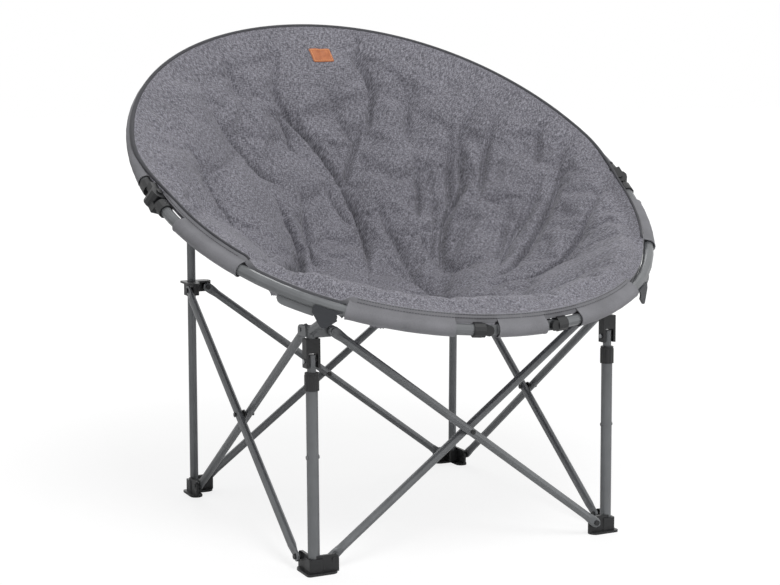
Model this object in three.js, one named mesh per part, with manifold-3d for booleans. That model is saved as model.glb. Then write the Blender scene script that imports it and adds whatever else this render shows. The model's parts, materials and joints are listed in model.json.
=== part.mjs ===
// Folding saucer chair: a hinged ring and padded bowl on a frame of crossed braces.
// Millimetres, +Z up, the front of the chair faces -Y, +X is the sitter's left.
import * as THREE from 'three';
import { mergeVertices } from 'three/addons/utils/BufferGeometryUtils.js';
import Module from 'manifold-3d';

const wasm = await Module();
wasm.setup();
const { Manifold, Mesh } = wasm;
const V = (x, y, z) => new THREE.Vector3(x, y, z);
const deg = Math.PI / 180;

// Clearances
const gap = 0.3;
const slip = 0.5;

// Sides used for round forms, and the tolerance for merging flat faces
const tidyTolerance = 0.005;
const postSides = 16;
const braceSides = 10;
const pinSides = 8;
const ringSides = 12;

// Frame
const postSpacing = 575;
const half = postSpacing / 2;
const outerPostRadius = 10;
const outerPostBore = 8.5;
const innerTubeRadius = 7.5;
const innerTubeBore = 6.3;
const backPostRadius = 8;
const backPostBore = 6.8;
const frontLeanAtTop = 7.7;

// Brace linkage
const footPinZ = 23;
const topPinZ = 405;
const pinInset = 32;
const overrun = 1;
const braceRadius = 7.5;
const braceFlatHalf = 3;
const braceEndHalf = 9;
const braceFlattening = 15;
const braceGap = 3.4;
const earOut = 8;
const earThick = 5;
const earRadius = 9;
const earBossRadius = 6;
const pinRadius = 2.5;
const pinHole = pinRadius + gap;
const pinHeadRadius = 5;
const pinHeadThick = 2.2;
const openPinPlay = 2.9;
const braceOffset = braceRadius + braceGap / 2;
const crossHeadRadius = 4.5;
const crossSpacerRadius = 8;

// Feet
const footHeight = 27;
const footHalf = 12.5;
const footCorner = 3;
const flangeThick = 4;
const flangeOut = 18;
const flangeIn = 6;
const flangeReach = 39;
const socketFloor = 7;
const flangeRivetRadius = 3.5;

// Front posts and forks
const collarBottom = 307;
const collarTop = 337;
const collarRadius = 11.6;
const collarRib = 0.7;
const collarRibs = 10;
const outerPostTop = 318;
const stopPinZ = 196;
const stopPinRadius = 2.4;
const innerTubeBottom = 50;
const innerTubeTop = 366;
const slotWidth = 5.6;
const forkBottom = 345;
const forkTop = 393;
const forkHalfX = 12.5;
const forkHalfY = 8.5;
const forkPinZ = 356;
const forkRoof = 369;
const spigotRadius = 4;
const spigotHeight = 8;
const headRadius = 8;
const headTop = 414;
const stubRadius = 8;

// Sliding collars and back posts
const sliderBottom = 391;
const sliderTop = 418;
const sliderHalf = 12;
const sliderFlange = 3.5;
const backPostTop = 735;
const saddleCapRadius = 10.5;
const saddleCapDrop = 22;
const saddleArmRadius = 6.5;
const cradleWall = 3.5;
const cradleLength = 26;
const cradleSlip = 0.9;
const cradleFrom = -20 * deg;
const cradleTo = 70 * deg;

// Ring, measured from its front in degrees
const ringTubeRadius = 9.5;
const ringOverhang = 185.9;
const ringRadius = half + ringOverhang;
const ringLong = 1.0357;
const ringThree = 0.0119;
const ringFour = -0.0056;
const ringWarp = 18.1;
const ringForward = 23;
const ringOverHead = 227.8;
const ringHeight = headTop + ringOverHead;
const ringCentre = V(0, -ringForward, ringHeight);
const ringTilt = 29.4 * deg;
const arcStep = 5;
const halfTurn = 0.5;
const linkPivotAt = 7.4;
const arcFrontAt = 8.6;
const clipEndAt = 10.3;
const linkTubeAt = 5.5;
const knuckleAt = 86;
const arcKnuckleGap = 3;
const bracketFrom = 35.2;
const bracketTo = 41;
const saddleAt = 137;
const arcBackAt = 178.7;
const backHingeFrom = 175.9;
const backHingeTo = 179;
const sleeveFrontFrom = 14;
const sleeveFrontTo = 34.7;
const sleeveSideFrom = 57.6;
const sleeveSideTo = 78;
const sleeveBackFrom = 92;
const sleeveBackTo = 175.6;
const sleeveSides = 8;
const sleeveBore = ringTubeRadius + slip;
const sleeveRadius = 12.1;

// Ring fittings
const hubAt = 37.56556;
const hubInset = 8.52169;
const hubDrop = 25.18834;
const hubAxis = V(0.061, -1.974, 0.247).normalize();
const knuckleAxis = V(-0.645, 0.981, -1.4).normalize();
const bracketRadius = 12.4;
const bracketPlateThick = 3;
const bracketDrop = 34;
const bracketInset = 1.6;
const bracketPlateTop = 2;
const bracketPlateOut = 10.5;
const bracketSaddleUp = 2;
const bracketShoulder = 4;
const bracketTip = 0.35;
const bracketTipRise = 4;
const lugNear = 3;
const lugFar = 10.2;
const lugRelief = 2;
const webRadius = 3.4;
const wayReach = 60;
const pivotNutFrom = 10.6;
const pivotNutTo = 13.4;
const hubBossEnd = 2.6;
const stubIntoSeat = 0.4;
const knuckleArmWide = 1.6;
const knuckleArmLap = 2;
const knuckleNutThick = 2.4;
const tubeEndPlay = 0.06;
const clipMouthWall = 2;
const clipStart = 0.6;
const linkTubeLap = 0.4;
const bladeWide = 1.9;
const noseWall = 0.5;
const clipSlotReach = 80;
const sleeveEndShort = 0.6;
const pivotBossRadius = 8;
const pivotPinRadius = 3;
const knuckleRadius = 15;
const knuckleHalfLength = 14;
const neckRadius = 12.8;
const neckFrom = 22.5;
const neckTo = 43;
const clipRadius = 12.6;
const tongueHalf = 3;
const tongueRadius = 8.5;

// Small heads, laps and play
const tubeSides = 12;
const cradleSides = 20;
const rivetLess = 1;
const rivetProud = 1;
const earUnderTop = 1;
const stopPinSunk = 0.5;
const stopPinHead = 1.2;
const stopHeadWider = 1.5;
const collarLip = 4;
const forkPinHead = 1.8;
const bossOut = 2;
const bossDrop = 5;
const bossRadius = 6.5;
const braceEndLeast = 6;
const braceEndRow = 0.6;
const braceSquareness = 0.6;
const crossRivetHead = 1.5;
const saddleCapOver = 5;
const saddleArmSunk = 2;

// Room left in the seat's edge for the fittings
const roomReach = 26;
const roomPlay = 2.5;
const roomTurn = 3.6;
const armRoom = 20.5;
const cradleRoomHalf = 17;
const cradleRoom = 19.5;
const capRoomHigh = 16;
const capPlay = 1;
const armRoomFrom = 4;
const armPlay = 1.5;

// Padded seat
const nearCentre = 0.0001;
const padRowCrowd = 0.85;
const padRimFrom = 0.9;
const padLiftFrom = 0.6;
const padUnderLift = 0.5;
const padUnderSlack = 1;
const liftFrom = [-60, -44];
const liftTo = [44, 60];
const lipFrom = [-60, -50];
const lipTo = [40, 88];
const lipStart = 0.78;
const lipLean = 1.7;
const lipRound = 0.8;
const foldStartShares = [-0.02, 0.3];
const foldStopShares = [0.75, 1.04];
const foldEndDepth = 0.25;
const foldEndFar = 40;
const foldSharp = 1.25;
const padDepth = 262;
const padRimInset = 13;
const padThickCentre = 24;
const padThickRim = 9;
const padSharp = 1.35;
const padSharpTurn = -0.15;
const padRound = 0.22;
const padAround = 48;
const padTopRings = 9;
const padUnderRings = 3;
const padPuff = 19;
const padPuffReach = 26;
const padPuffDown = 6;
const padRimLift = 9;
const padFrontLift = 11;
const padLipFront = 20;
const padLipBack = 3;
const padFoldInset = 15;
const padFoldSteps = 40;
const padFoldWiden = 20;

// Folds in the seat: ring angle and share of the way to the rim, with depth and width
const padFoldDeep = 20;
const padFoldWide = 20;
const padFoldShares = [
  { depth: 0.7, width: 0.5, line: [[169, 0.97], [163, 0.85], [162, 0.75], [163, 0.66]] },
  { depth: 0.6, width: 0.4, line: [[164, 0.74], [172, 0.52], [173, 0.45]] },
  { depth: 0.95, width: 0.55, line: [[-168, 0.92], [-165, 0.8], [-174, 0.65], [173, 0.45],
    [160, 0.26], [149, 0.06]] },
  { depth: 0.5, width: 0.4, line: [[-165, 0.8], [-165, 0.68], [-164, 0.58]] },
  { depth: 0.7, width: 0.4, line: [[157, 0.42], [132, 0.28], [65, 0.22]] },
  { depth: 0.9, width: 0.5, line: [[131, 0.87], [130, 0.75], [120, 0.61], [116, 0.47], [90, 0.34],
    [67, 0.36]] },
  { depth: 0.6, width: 0.4, line: [[135, 0.76], [126, 0.6], [116, 0.47], [124, 0.33]] },
  { depth: 0.75, width: 0.5, line: [[108, 0.96], [98, 0.88], [86, 0.74], [67, 0.58], [52, 0.5]] },
  { depth: 0.8, width: 0.55, line: [[82, 0.92], [66, 0.78], [55, 0.66], [48, 0.5]] },
  { depth: 0.8, width: 0.6, line: [[-139, 0.8], [-142, 0.66], [-146, 0.52]] },
  { depth: 0.7, width: 0.6, line: [[-117, 0.85], [-115, 0.73], [-100, 0.6], [-80, 0.5]] },
  { depth: 1.5, width: 0.5, line: [[-135, 0.44], [-131, 0.39], [-122, 0.29], [-100, 0.27], [-80, 0.34]] },
  { depth: 0.5, width: 0.5, line: [[30, 0.9], [28, 0.6], [30, 0.35]] },
  { depth: 0.5, width: 0.5, line: [[-20, 0.9], [-24, 0.62], [-30, 0.4]] },
  { depth: 0.7, width: 0.45, line: [[-54, 1], [-56, 0.9], [-62, 0.7], [-72, 0.5]] },
];

function shifted(point, axis, length) {
  return point.clone().addScaledVector(axis, length);
}

function toSolid(geometry) {
  const bare = geometry.clone();
  bare.deleteAttribute('normal');
  bare.deleteAttribute('uv');
  const merged = mergeVertices(bare, 1e-4);
  const index = merged.index.array;
  const kept = [];
  for (let i = 0; i < index.length; i += 3) {
    const [a, b, c] = [index[i], index[i + 1], index[i + 2]];
    if (a !== b && b !== c && c !== a) kept.push(a, b, c);
  }
  return new Manifold(new Mesh({
    numProp: 3,
    vertProperties: Float32Array.from(merged.attributes.position.array),
    triVerts: Uint32Array.from(kept),
  }));
}

function toGeometry(solid) {
  const mesh = solid.asOriginal().simplify(tidyTolerance).getMesh();
  const geometry = new THREE.BufferGeometry();
  geometry.setAttribute('position', new THREE.BufferAttribute(Float32Array.from(mesh.vertProperties), 3));
  geometry.setIndex(new THREE.BufferAttribute(Uint32Array.from(mesh.triVerts), 1));
  geometry.computeVertexNormals();
  return geometry;
}

const join = (...solids) => solids.reduce((all, one) => all.add(one));
const cut = (body, ...tools) => tools.reduce((all, one) => all.subtract(one), body);
const moved = (solid, matrix) => solid.transform(matrix.elements);

// A frame at a point: local z runs along, local x lies towards side
function frameAt(origin, along, side) {
  const z = along.clone().normalize();
  const y = new THREE.Vector3().crossVectors(z, side).normalize();
  const x = new THREE.Vector3().crossVectors(y, z);
  return new THREE.Matrix4().makeBasis(x, y, z).setPosition(origin);
}

function rod(from, to, radius, sides = pinSides) {
  const length = from.distanceTo(to);
  const along = to.clone().sub(from).normalize();
  const side = Math.abs(along.x) < 0.9 ? V(1, 0, 0) : V(0, 1, 0);
  const shape = new THREE.CylinderGeometry(radius, radius, length, sides);
  shape.rotateX(Math.PI / 2);
  shape.translate(0, 0, length / 2);
  shape.applyMatrix4(frameAt(from, along, side));
  return toSolid(shape);
}

function box(low, high) {
  const size = high.clone().sub(low);
  const shape = new THREE.BoxGeometry(size.x, size.y, size.z);
  shape.translate(low.x + size.x / 2, low.y + size.y / 2, low.z + size.z / 2);
  return toSolid(shape);
}

// A flat outline in x and z given a thickness in y, from the plane at low to the one at high
function plateXZ(shape, low, high, curveSegments = 4) {
  const body = new THREE.ExtrudeGeometry(shape,
    { depth: high - low, bevelEnabled: false, curveSegments });
  body.rotateX(Math.PI / 2);
  body.translate(0, high, 0);
  return toSolid(body);
}

// A flat outline in x and y given a height, from low to high
function plateXY(shape, low, high, curveSegments = 4) {
  const body = new THREE.ExtrudeGeometry(shape,
    { depth: high - low, bevelEnabled: false, curveSegments });
  body.translate(0, 0, low);
  return toSolid(body);
}

function polygon(points) {
  const shape = new THREE.Shape();
  shape.setFromPoints(points.map(([x, y]) => new THREE.Vector2(x, y)));
  return shape;
}

function ringOfPoints(radius, sides, turn = 0) {
  return Array.from({ length: sides }, (_, i) => {
    const a = turn + (i / sides) * 2 * Math.PI;
    return new THREE.Vector2(radius * Math.cos(a), radius * Math.sin(a));
  });
}

// Ring centreline at an angle from its front, positive towards +X
const ringAlong = V(0, Math.cos(ringTilt), Math.sin(ringTilt));
const ringNormal = V(0, -Math.sin(ringTilt), Math.cos(ringTilt));

function ringPoint(angle, share = 1, inset = 0) {
  const a = angle * deg;
  const shape = 1 + ringThree * Math.cos(3 * a) + ringFour * Math.cos(4 * a);
  const radius = (ringRadius * shape - inset) * share;
  return ringCentre.clone()
    .add(V(radius * Math.sin(a), 0, 0))
    .addScaledVector(ringAlong, -radius * Math.cos(a) * ringLong)
    .addScaledVector(ringNormal, ringWarp * Math.cos(2 * a) * share * share);
}

// The pivot of the right hub hangs under the ring
const hubPivot = ringPoint(-hubAt, 1, hubInset).addScaledVector(ringNormal, -hubDrop);

function ringTangent(angle) {
  return ringPoint(angle + halfTurn).sub(ringPoint(angle - halfTurn)).normalize();
}

class RingCurve extends THREE.Curve {
  constructor(from, to) {
    super();
    this.from = from;
    this.to = to;
  }
  getPoint(t) {
    return ringPoint(this.from + (this.to - this.from) * t);
  }
  getPointAt(t) {
    return this.getPoint(t);
  }
}

// A bar or, with a bore, a tube along the ring
function along(from, to, radius, bore, sides) {
  const shape = new THREE.Shape();
  shape.setFromPoints(ringOfPoints(radius, sides));
  if (bore) {
    const hole = new THREE.Path();
    hole.setFromPoints(ringOfPoints(bore, sides).reverse());
    shape.holes.push(hole);
  }
  const steps = Math.max(1, Math.round(Math.abs(to - from) / arcStep));
  const path = new RingCurve(from, to);
  return toSolid(new THREE.ExtrudeGeometry(shape, { steps, extrudePath: path, bevelEnabled: false }));
}

const acrossFlats = (radius, sides) => radius / Math.cos(Math.PI / sides);

// The front posts lean back a little about their foot pins
const leanAngle = Math.atan2(frontLeanAtTop, topPinZ - footPinZ);
const lean = new THREE.Matrix4().makeTranslation(0, 0, footPinZ)
  .multiply(new THREE.Matrix4().makeRotationX(-leanAngle))
  .multiply(new THREE.Matrix4().makeTranslation(0, 0, -footPinZ));
const upright = new THREE.Matrix4();
const swapXY = new THREE.Matrix4().makeBasis(V(0, 1, 0), V(1, 0, 0), V(0, 0, 1));

// Corner work is drawn with the chair's middle towards +X and +Y, then sent to its corner
const corners = {
  A: { x: -1, y: -1, xOuter: false, yOuter: true, topXOuter: true, topYOuter: false },
  B: { x: 1, y: -1, xOuter: true, yOuter: false, topXOuter: false, topYOuter: true },
  C: { x: -1, y: 1, xOuter: true, yOuter: false, topXOuter: false, topYOuter: true },
  D: { x: 1, y: 1, xOuter: false, yOuter: true, topXOuter: true, topYOuter: false },
};

function cornerMatrix(corner) {
  return new THREE.Matrix4().makeTranslation(corner.x * half, corner.y * half, 0)
    .multiply(new THREE.Matrix4().makeScale(-corner.x, -corner.y, 1));
}

// Distance of a brace's middle plane outward from the post axis
const bracePlane = (outer) => earOut + (outer ? braceOffset : -braceOffset);

// An ear beside the post with its boss, pin and rivet heads, for the brace in the X direction
function ear(pinX, pinZ, low, high, outer, rise) {
  const outline = new THREE.Shape();
  const reach = pinX + earRadius;
  if (rise) {
    outline.moveTo(0, low);
    outline.lineTo(reach, low);
    outline.lineTo(reach, pinZ);
    outline.absarc(pinX, pinZ, earRadius, 0, Math.PI / 2, false);
    outline.lineTo(0, high);
  } else {
    outline.moveTo(0, high);
    outline.lineTo(0, low);
    outline.lineTo(pinX, low);
    outline.absarc(pinX, pinZ, earRadius, -Math.PI / 2, 0, false);
    outline.lineTo(reach, high);
  }
  const middle = -earOut;
  const way = outer ? -1 : 1;
  const faceEnd = middle + way * (braceOffset - braceFlatHalf - gap);
  const headStart = middle + way * (braceOffset + braceFlatHalf + gap);
  const headEnd = headStart + way * pinHeadThick;
  const backEnd = middle - way * (earThick / 2 + pinHeadThick * 0.6);
  const at = (y) => V(pinX, y, pinZ);
  return join(
    plateXZ(outline, middle - earThick / 2, middle + earThick / 2),
    rod(at(middle), at(faceEnd), earBossRadius),
    rod(at(backEnd), at(headEnd), pinRadius),
    rod(at(headStart), at(headEnd), pinHeadRadius),
    rod(at(backEnd), at(middle), pinHeadRadius - rivetLess),
  );
}

function flange(low, high) {
  const tip = (flangeOut + flangeIn) / 2;
  const middle = (flangeIn - flangeOut) / 2;
  const outline = new THREE.Shape();
  outline.moveTo(-flangeOut, -flangeOut + tip / 2);
  outline.absarc(-flangeOut + tip / 2, -flangeOut + tip / 2, tip / 2, Math.PI, 1.5 * Math.PI, false);
  outline.lineTo(flangeReach - tip, -flangeOut);
  outline.absarc(flangeReach - tip, middle, tip, -Math.PI / 2, Math.PI / 2, false);
  outline.lineTo(flangeIn, flangeIn);
  outline.lineTo(flangeIn, flangeReach - tip);
  outline.absarc(middle, flangeReach - tip, tip, 0, Math.PI, false);
  return plateXY(outline, low, high);
}

function roundedSquare(side, corner) {
  const outline = new THREE.Shape();
  const inner = side - corner;
  outline.moveTo(side, inner);
  outline.absarc(inner, inner, corner, 0, Math.PI / 2, false);
  outline.absarc(-inner, inner, corner, Math.PI / 2, Math.PI, false);
  outline.absarc(-inner, -inner, corner, Math.PI, 1.5 * Math.PI, false);
  outline.absarc(inner, -inner, corner, 1.5 * Math.PI, 2 * Math.PI, false);
  return outline;
}

function foot(corner, tilt, postRadius) {
  const bore = acrossFlats(postRadius + gap, postSides);
  const earTop = footPinZ + earRadius;
  const block = plateXY(roundedSquare(footHalf, footCorner), flangeThick / 2, footHeight, 3);
  const xEar = moved(ear(pinInset, footPinZ, flangeThick / 2, earTop, corner.xOuter, true), tilt);
  const yEar = moved(ear(pinInset, footPinZ, flangeThick / 2, earTop, corner.yOuter, true), swapXY);
  const rivetAt = flangeReach - (flangeOut + flangeIn) / 2;
  const rivetY = (flangeIn - flangeOut) / 2;
  const rivet = rod(V(rivetAt, rivetY, flangeThick / 2), V(rivetAt, rivetY, flangeThick + rivetProud),
    flangeRivetRadius);
  const body = join(flange(0, flangeThick), block, xEar, yEar, rivet);
  return cut(body, moved(rod(V(0, 0, socketFloor - gap), V(0, 0, footHeight * 2), bore, postSides),
    tilt));
}

function tube(low, high, radius, bore, sides) {
  const outside = rod(V(0, 0, low), V(0, 0, high), radius, sides);
  return cut(outside, rod(V(0, 0, low - overrun), V(0, 0, high + overrun), bore, sides));
}

function outerPost() {
  const wall = outerPostRadius - stopPinSunk;
  const stop = rod(V(-wall, 0, stopPinZ), V(wall, 0, stopPinZ), stopPinRadius);
  const head = rod(V(-outerPostRadius - stopPinHead, 0, stopPinZ), V(-wall, 0, stopPinZ),
    stopPinRadius * stopHeadWider);
  const other = rod(V(wall, 0, stopPinZ), V(outerPostRadius + stopPinHead, 0, stopPinZ),
    stopPinRadius * stopHeadWider);
  return join(tube(socketFloor, outerPostTop, outerPostRadius, outerPostBore, postSides), stop, head,
    other);
}

function innerTube() {
  const slotTop = stopPinZ + stopPinRadius + gap;
  const slot = box(V(-innerTubeRadius * 2, -slotWidth / 2, innerTubeBottom - overrun),
    V(innerTubeRadius * 2, slotWidth / 2, slotTop));
  const pinWay = rod(V(-innerTubeRadius * 2, 0, forkPinZ), V(innerTubeRadius * 2, 0, forkPinZ), pinHole);
  return cut(tube(innerTubeBottom, innerTubeTop, innerTubeRadius, innerTubeBore, tubeSides), slot,
    pinWay);
}

function collar() {
  const points = [];
  for (let i = 0; i < collarRibs; i += 1) {
    for (const [part, radius] of [[0, collarRadius], [0.25, collarRadius + collarRib],
      [0.6, collarRadius + collarRib], [0.85, collarRadius]]) {
      const a = ((i + part) / collarRibs) * 2 * Math.PI;
      points.push([radius * Math.cos(a), radius * Math.sin(a)]);
    }
  }
  const lip = collarLip;
  const body = join(
    plateXY(polygon(points), collarBottom, collarTop - lip),
    rod(V(0, 0, collarTop - lip), V(0, 0, collarTop), collarRadius, postSides),
  );
  const post = rod(V(0, 0, collarBottom - overrun), V(0, 0, outerPostTop + gap),
    acrossFlats(outerPostRadius + gap, postSides), postSides);
  const guide = rod(V(0, 0, collarBottom - overrun), V(0, 0, collarTop + overrun),
    acrossFlats(innerTubeRadius + gap, tubeSides), tubeSides);
  return cut(body, post, guide);
}

function fork() {
  const block = plateXY(roundedSquare(forkHalfX, footCorner), forkBottom, forkTop, 2)
    .intersect(box(V(-forkHalfX * 2, -forkHalfY, 0), V(forkHalfX * 2, forkHalfY, forkTop * 2)));
  const throat = innerTubeRadius + slip;
  const spigot = rod(V(0, 0, forkTop - overrun), V(0, 0, forkTop + spigotHeight), spigotRadius);
  const way = box(V(-throat, -forkHalfY * 2, forkBottom - overrun), V(throat, forkHalfY * 2, forkRoof));
  const pinWay = rod(V(-forkHalfX * 2, 0, forkPinZ), V(forkHalfX * 2, 0, forkPinZ), pinHole);
  return cut(join(block, spigot), way, pinWay);
}

function forkPin() {
  const reach = forkHalfX + gap;
  const head = reach + forkPinHead;
  return join(
    rod(V(-head, 0, forkPinZ), V(head, 0, forkPinZ), pinRadius),
    rod(V(-head, 0, forkPinZ), V(-reach, 0, forkPinZ), pinHeadRadius - rivetLess),
    rod(V(reach, 0, forkPinZ), V(head, 0, forkPinZ), pinHeadRadius - rivetLess),
  );
}

// The hub's bracket: a head on the fork, two ears and the stub up to the ring's pivot
function hubBracket(corner, pivot, axis) {
  const base = forkTop + gap;
  const head = rod(V(0, 0, base), V(0, 0, headTop), headRadius, postSides);
  const earLow = topPinZ - earRadius;
  const earHigh = topPinZ + earRadius;
  const xEar = ear(pinInset, topPinZ, earLow, earHigh, corner.topXOuter, true);
  const openAt = pinInset - frontLeanAtTop - openPinPlay + gap;
  const yEar = moved(ear(openAt, topPinZ, earLow, earHigh, corner.topYOuter, true), swapXY);
  const leaned = moved(join(head, xEar, yEar), lean);
  const from = V(0, 0, topPinZ).applyMatrix4(lean);
  const seat = axis.clone().multiplyScalar(-pivotBossRadius);
  const stub = rod(from, pivot.clone().add(seat.clone().multiplyScalar(stubIntoSeat)), stubRadius,
    postSides);
  const boss = rod(pivot.clone().add(seat), shifted(pivot, axis, hubBossEnd), pivotBossRadius);
  const bolt = rod(pivot, shifted(pivot, axis, pivotNutTo), pivotPinRadius);
  const nut = rod(shifted(pivot, axis, pivotNutFrom), shifted(pivot, axis, pivotNutTo),
    pivotPinRadius * 2);
  const plain = join(leaned, stub, boss, bolt, nut);
  const body = corner.topXOuter ? join(plain, crossBoss()) : plain;
  const spigotWay = rod(V(0, 0, base - overrun), V(0, 0, forkTop + spigotHeight + gap),
    spigotRadius + gap);
  const forkWay = box(V(-forkHalfX * 2, -forkHalfY * 2, 0), V(forkHalfX * 2, forkHalfY * 3, base));
  return cut(body, moved(spigotWay, lean), moved(forkWay, lean));
}

// Cross boss in front of the right-hand hub's ear, seen in the photo
function crossBoss() {
  return moved(rod(V(0, -bossOut, topPinZ - bossDrop),
    V(pinInset + bossOut, -bossOut, topPinZ - bossDrop), bossRadius), lean);
}

function slider(corner) {
  const block = plateXY(roundedSquare(sliderHalf, footCorner), sliderBottom, sliderTop, 3);
  const low = topPinZ - earRadius;
  const flangeLow = sliderTop - sliderFlange;
  const xEar = ear(pinInset, topPinZ, low, sliderTop - earUnderTop, corner.topXOuter, false);
  const yEar = moved(ear(pinInset, topPinZ, low, sliderTop - earUnderTop, corner.topYOuter, false),
    swapXY);
  const body = join(flange(flangeLow, sliderTop), block, xEar, yEar);
  const bore = acrossFlats(backPostRadius + gap, postSides);
  return cut(body, rod(V(0, 0, 0), V(0, 0, sliderTop * 2), bore, postSides));
}

// One brace in the plane of X and Z, from the foot pin to the top pin, flattened at both ends
const span = postSpacing - 2 * pinInset;
const rise = topPinZ - footPinZ;
const braceLength = Math.hypot(span, rise);
const braceAngle = Math.atan2(span, rise);

function braceSection(at) {
  const fromEnd = Math.min(at, braceLength - at);
  if (fromEnd < 0) {
    const inside = Math.max(braceEndHalf ** 2 - fromEnd ** 2, braceEndLeast);
    return [Math.sqrt(inside), braceFlatHalf];
  }
  const share = THREE.MathUtils.smoothstep(fromEnd, braceEndHalf, braceEndHalf + braceFlattening);
  return [
    THREE.MathUtils.lerp(braceEndHalf, braceRadius, share),
    THREE.MathUtils.lerp(braceFlatHalf, braceRadius, share),
  ];
}

function brace(openTop) {
  const end = braceEndHalf;
  const near = [-end, -end * braceEndRow, 0, end, end + braceFlattening * 0.5, end + braceFlattening];
  const stations = near.concat(near.map((at) => braceLength - at).reverse());
  const positions = [];
  const index = [];
  stations.forEach((at) => {
    const [wide, thick] = braceSection(at);
    const square = THREE.MathUtils.clamp((braceRadius - thick) / (braceRadius - braceFlatHalf), 0, 1);
    const power = THREE.MathUtils.lerp(1, braceSquareness, square);
    for (let i = 0; i < braceSides; i += 1) {
      const a = ((i + 0.5) / braceSides) * 2 * Math.PI;
      const c = Math.cos(a);
      const s = Math.sin(a);
      positions.push(wide * Math.sign(c) * Math.abs(c) ** power,
        thick * Math.sign(s) * Math.abs(s) ** power, at);
    }
  });
  const rows = stations.length;
  for (let r = 0; r < rows - 1; r += 1) {
    for (let i = 0; i < braceSides; i += 1) {
      const a = r * braceSides + i;
      const b = r * braceSides + ((i + 1) % braceSides);
      index.push(a, b, b + braceSides, a, b + braceSides, a + braceSides);
    }
  }
  for (let i = 1; i < braceSides - 1; i += 1) {
    index.push(0, i + 1, i);
    const top = (rows - 1) * braceSides;
    index.push(top, top + i, top + i + 1);
  }
  const shape = new THREE.BufferGeometry();
  shape.setAttribute('position', new THREE.Float32BufferAttribute(positions, 3));
  shape.setIndex(index);
  const hole = (at, radius) => rod(V(0, -braceRadius * 2, at), V(0, braceRadius * 2, at), radius);
  return cut(toSolid(shape), hole(0, pinHole),
    hole(braceLength, openTop ? pinHole + openPinPlay : pinHole),
    hole(braceLength / 2, pinHole));
}

// Sends a brace, drawn along z, from a foot pin to the top pin across
function layBrace(solid, corner, outer) {
  const turn = new THREE.Matrix4().makeRotationY(braceAngle);
  const place = new THREE.Matrix4().makeTranslation(pinInset, -bracePlane(outer), footPinZ);
  return moved(solid, place.multiply(turn));
}

function crossRivet() {
  const shape = [];
  const inner = braceGap / 2 - gap;
  const outer = braceOffset + braceRadius + gap;
  const headEnd = outer + crossRivetHead;
  shape.push([0, -headEnd], [crossHeadRadius, -headEnd], [crossHeadRadius, -outer], [pinRadius, -outer]);
  shape.push([pinRadius, -inner], [crossSpacerRadius, -inner], [crossSpacerRadius, inner],
    [pinRadius, inner]);
  shape.push([pinRadius, outer], [crossHeadRadius, outer], [crossHeadRadius, headEnd], [0, headEnd]);
  const lathe = new THREE.LatheGeometry(shape.map(([x, y]) => new THREE.Vector2(x, y)), pinSides);
  lathe.translate(pinInset + span / 2, -earOut, footPinZ + rise / 2);
  return toSolid(lathe);
}

// The side of the ring on the sitter's right; the other is its mirror
function frontArc() {
  return along(-arcFrontAt, -(knuckleAt - arcKnuckleGap), ringTubeRadius, 0, ringSides);
}

function backArc() {
  return along(-(knuckleAt + arcKnuckleGap), -arcBackAt, ringTubeRadius, 0, ringSides);
}

function sleeve(from, to) {
  return along(from, to, sleeveRadius, acrossFlats(sleeveBore, sleeveSides), sleeveSides);
}

// Bracket clamped round the ring over the hub: saddle, shield plate and pivot lug
function ringBracket() {
  const middle = -(bracketFrom + bracketTo) / 2;
  const at = ringPoint(middle);
  const tangent = ringTangent(middle);
  const saddle = along(-bracketFrom, -bracketTo, bracketRadius, 0, ringSides);
  const wide = ringPoint(-bracketFrom).distanceTo(ringPoint(-bracketTo)) / 2 - bracketInset;
  const outline = new THREE.Shape();
  outline.moveTo(-wide, -bracketPlateTop);
  outline.lineTo(wide, -bracketPlateTop);
  outline.lineTo(wide, -ringTubeRadius - bracketShoulder);
  outline.lineTo(wide * bracketTip, -bracketDrop + bracketTipRise);
  outline.absarc(0, -bracketDrop + bracketTipRise * 2, wide * bracketTip, -54 * deg, -126 * deg, true);
  outline.lineTo(-wide, -ringTubeRadius - bracketShoulder);
  const body = new THREE.ExtrudeGeometry(outline,
    { depth: bracketPlateThick, bevelEnabled: false, curveSegments: 4 });
  body.translate(0, 0, -bracketPlateThick / 2);
  const facing = new THREE.Vector3().crossVectors(tangent, V(0, 0, 1)).normalize();
  body.applyMatrix4(frameAt(shifted(at, facing, bracketPlateOut), facing, tangent));
  const lugFrom = shifted(hubPivot, hubAxis, lugNear);
  const lugTo = shifted(hubPivot, hubAxis, lugFar);
  const lug = rod(lugFrom, lugTo, pivotBossRadius);
  const web = rod(lugFrom.clone().lerp(lugTo, 0.5), at, webRadius);
  const bore = along(-bracketFrom + 1, -bracketTo - 1, acrossFlats(ringTubeRadius + slip, ringSides),
    0, ringSides);
  const boltWay = rod(hubPivot, shifted(hubPivot, hubAxis, wayReach),
    acrossFlats(pivotPinRadius + gap, pinSides));
  const nutWay = rod(shifted(hubPivot, hubAxis, pivotNutFrom - gap), shifted(hubPivot, hubAxis, wayReach),
    acrossFlats(pivotPinRadius * 2 + gap, pinSides));
  const face = rod(shifted(hubPivot, hubAxis, -wayReach), lugFrom, pivotBossRadius + lugRelief);
  const open = facing.clone().add(V(0, 0, 1)).normalize();
  const half = saddle.trimByPlane(open.clone().negate().toArray(), -open.dot(at) - bracketSaddleUp);
  return cut(join(half, toSolid(body), lug, web), bore, boltWay, nutWay, face);
}

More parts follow.
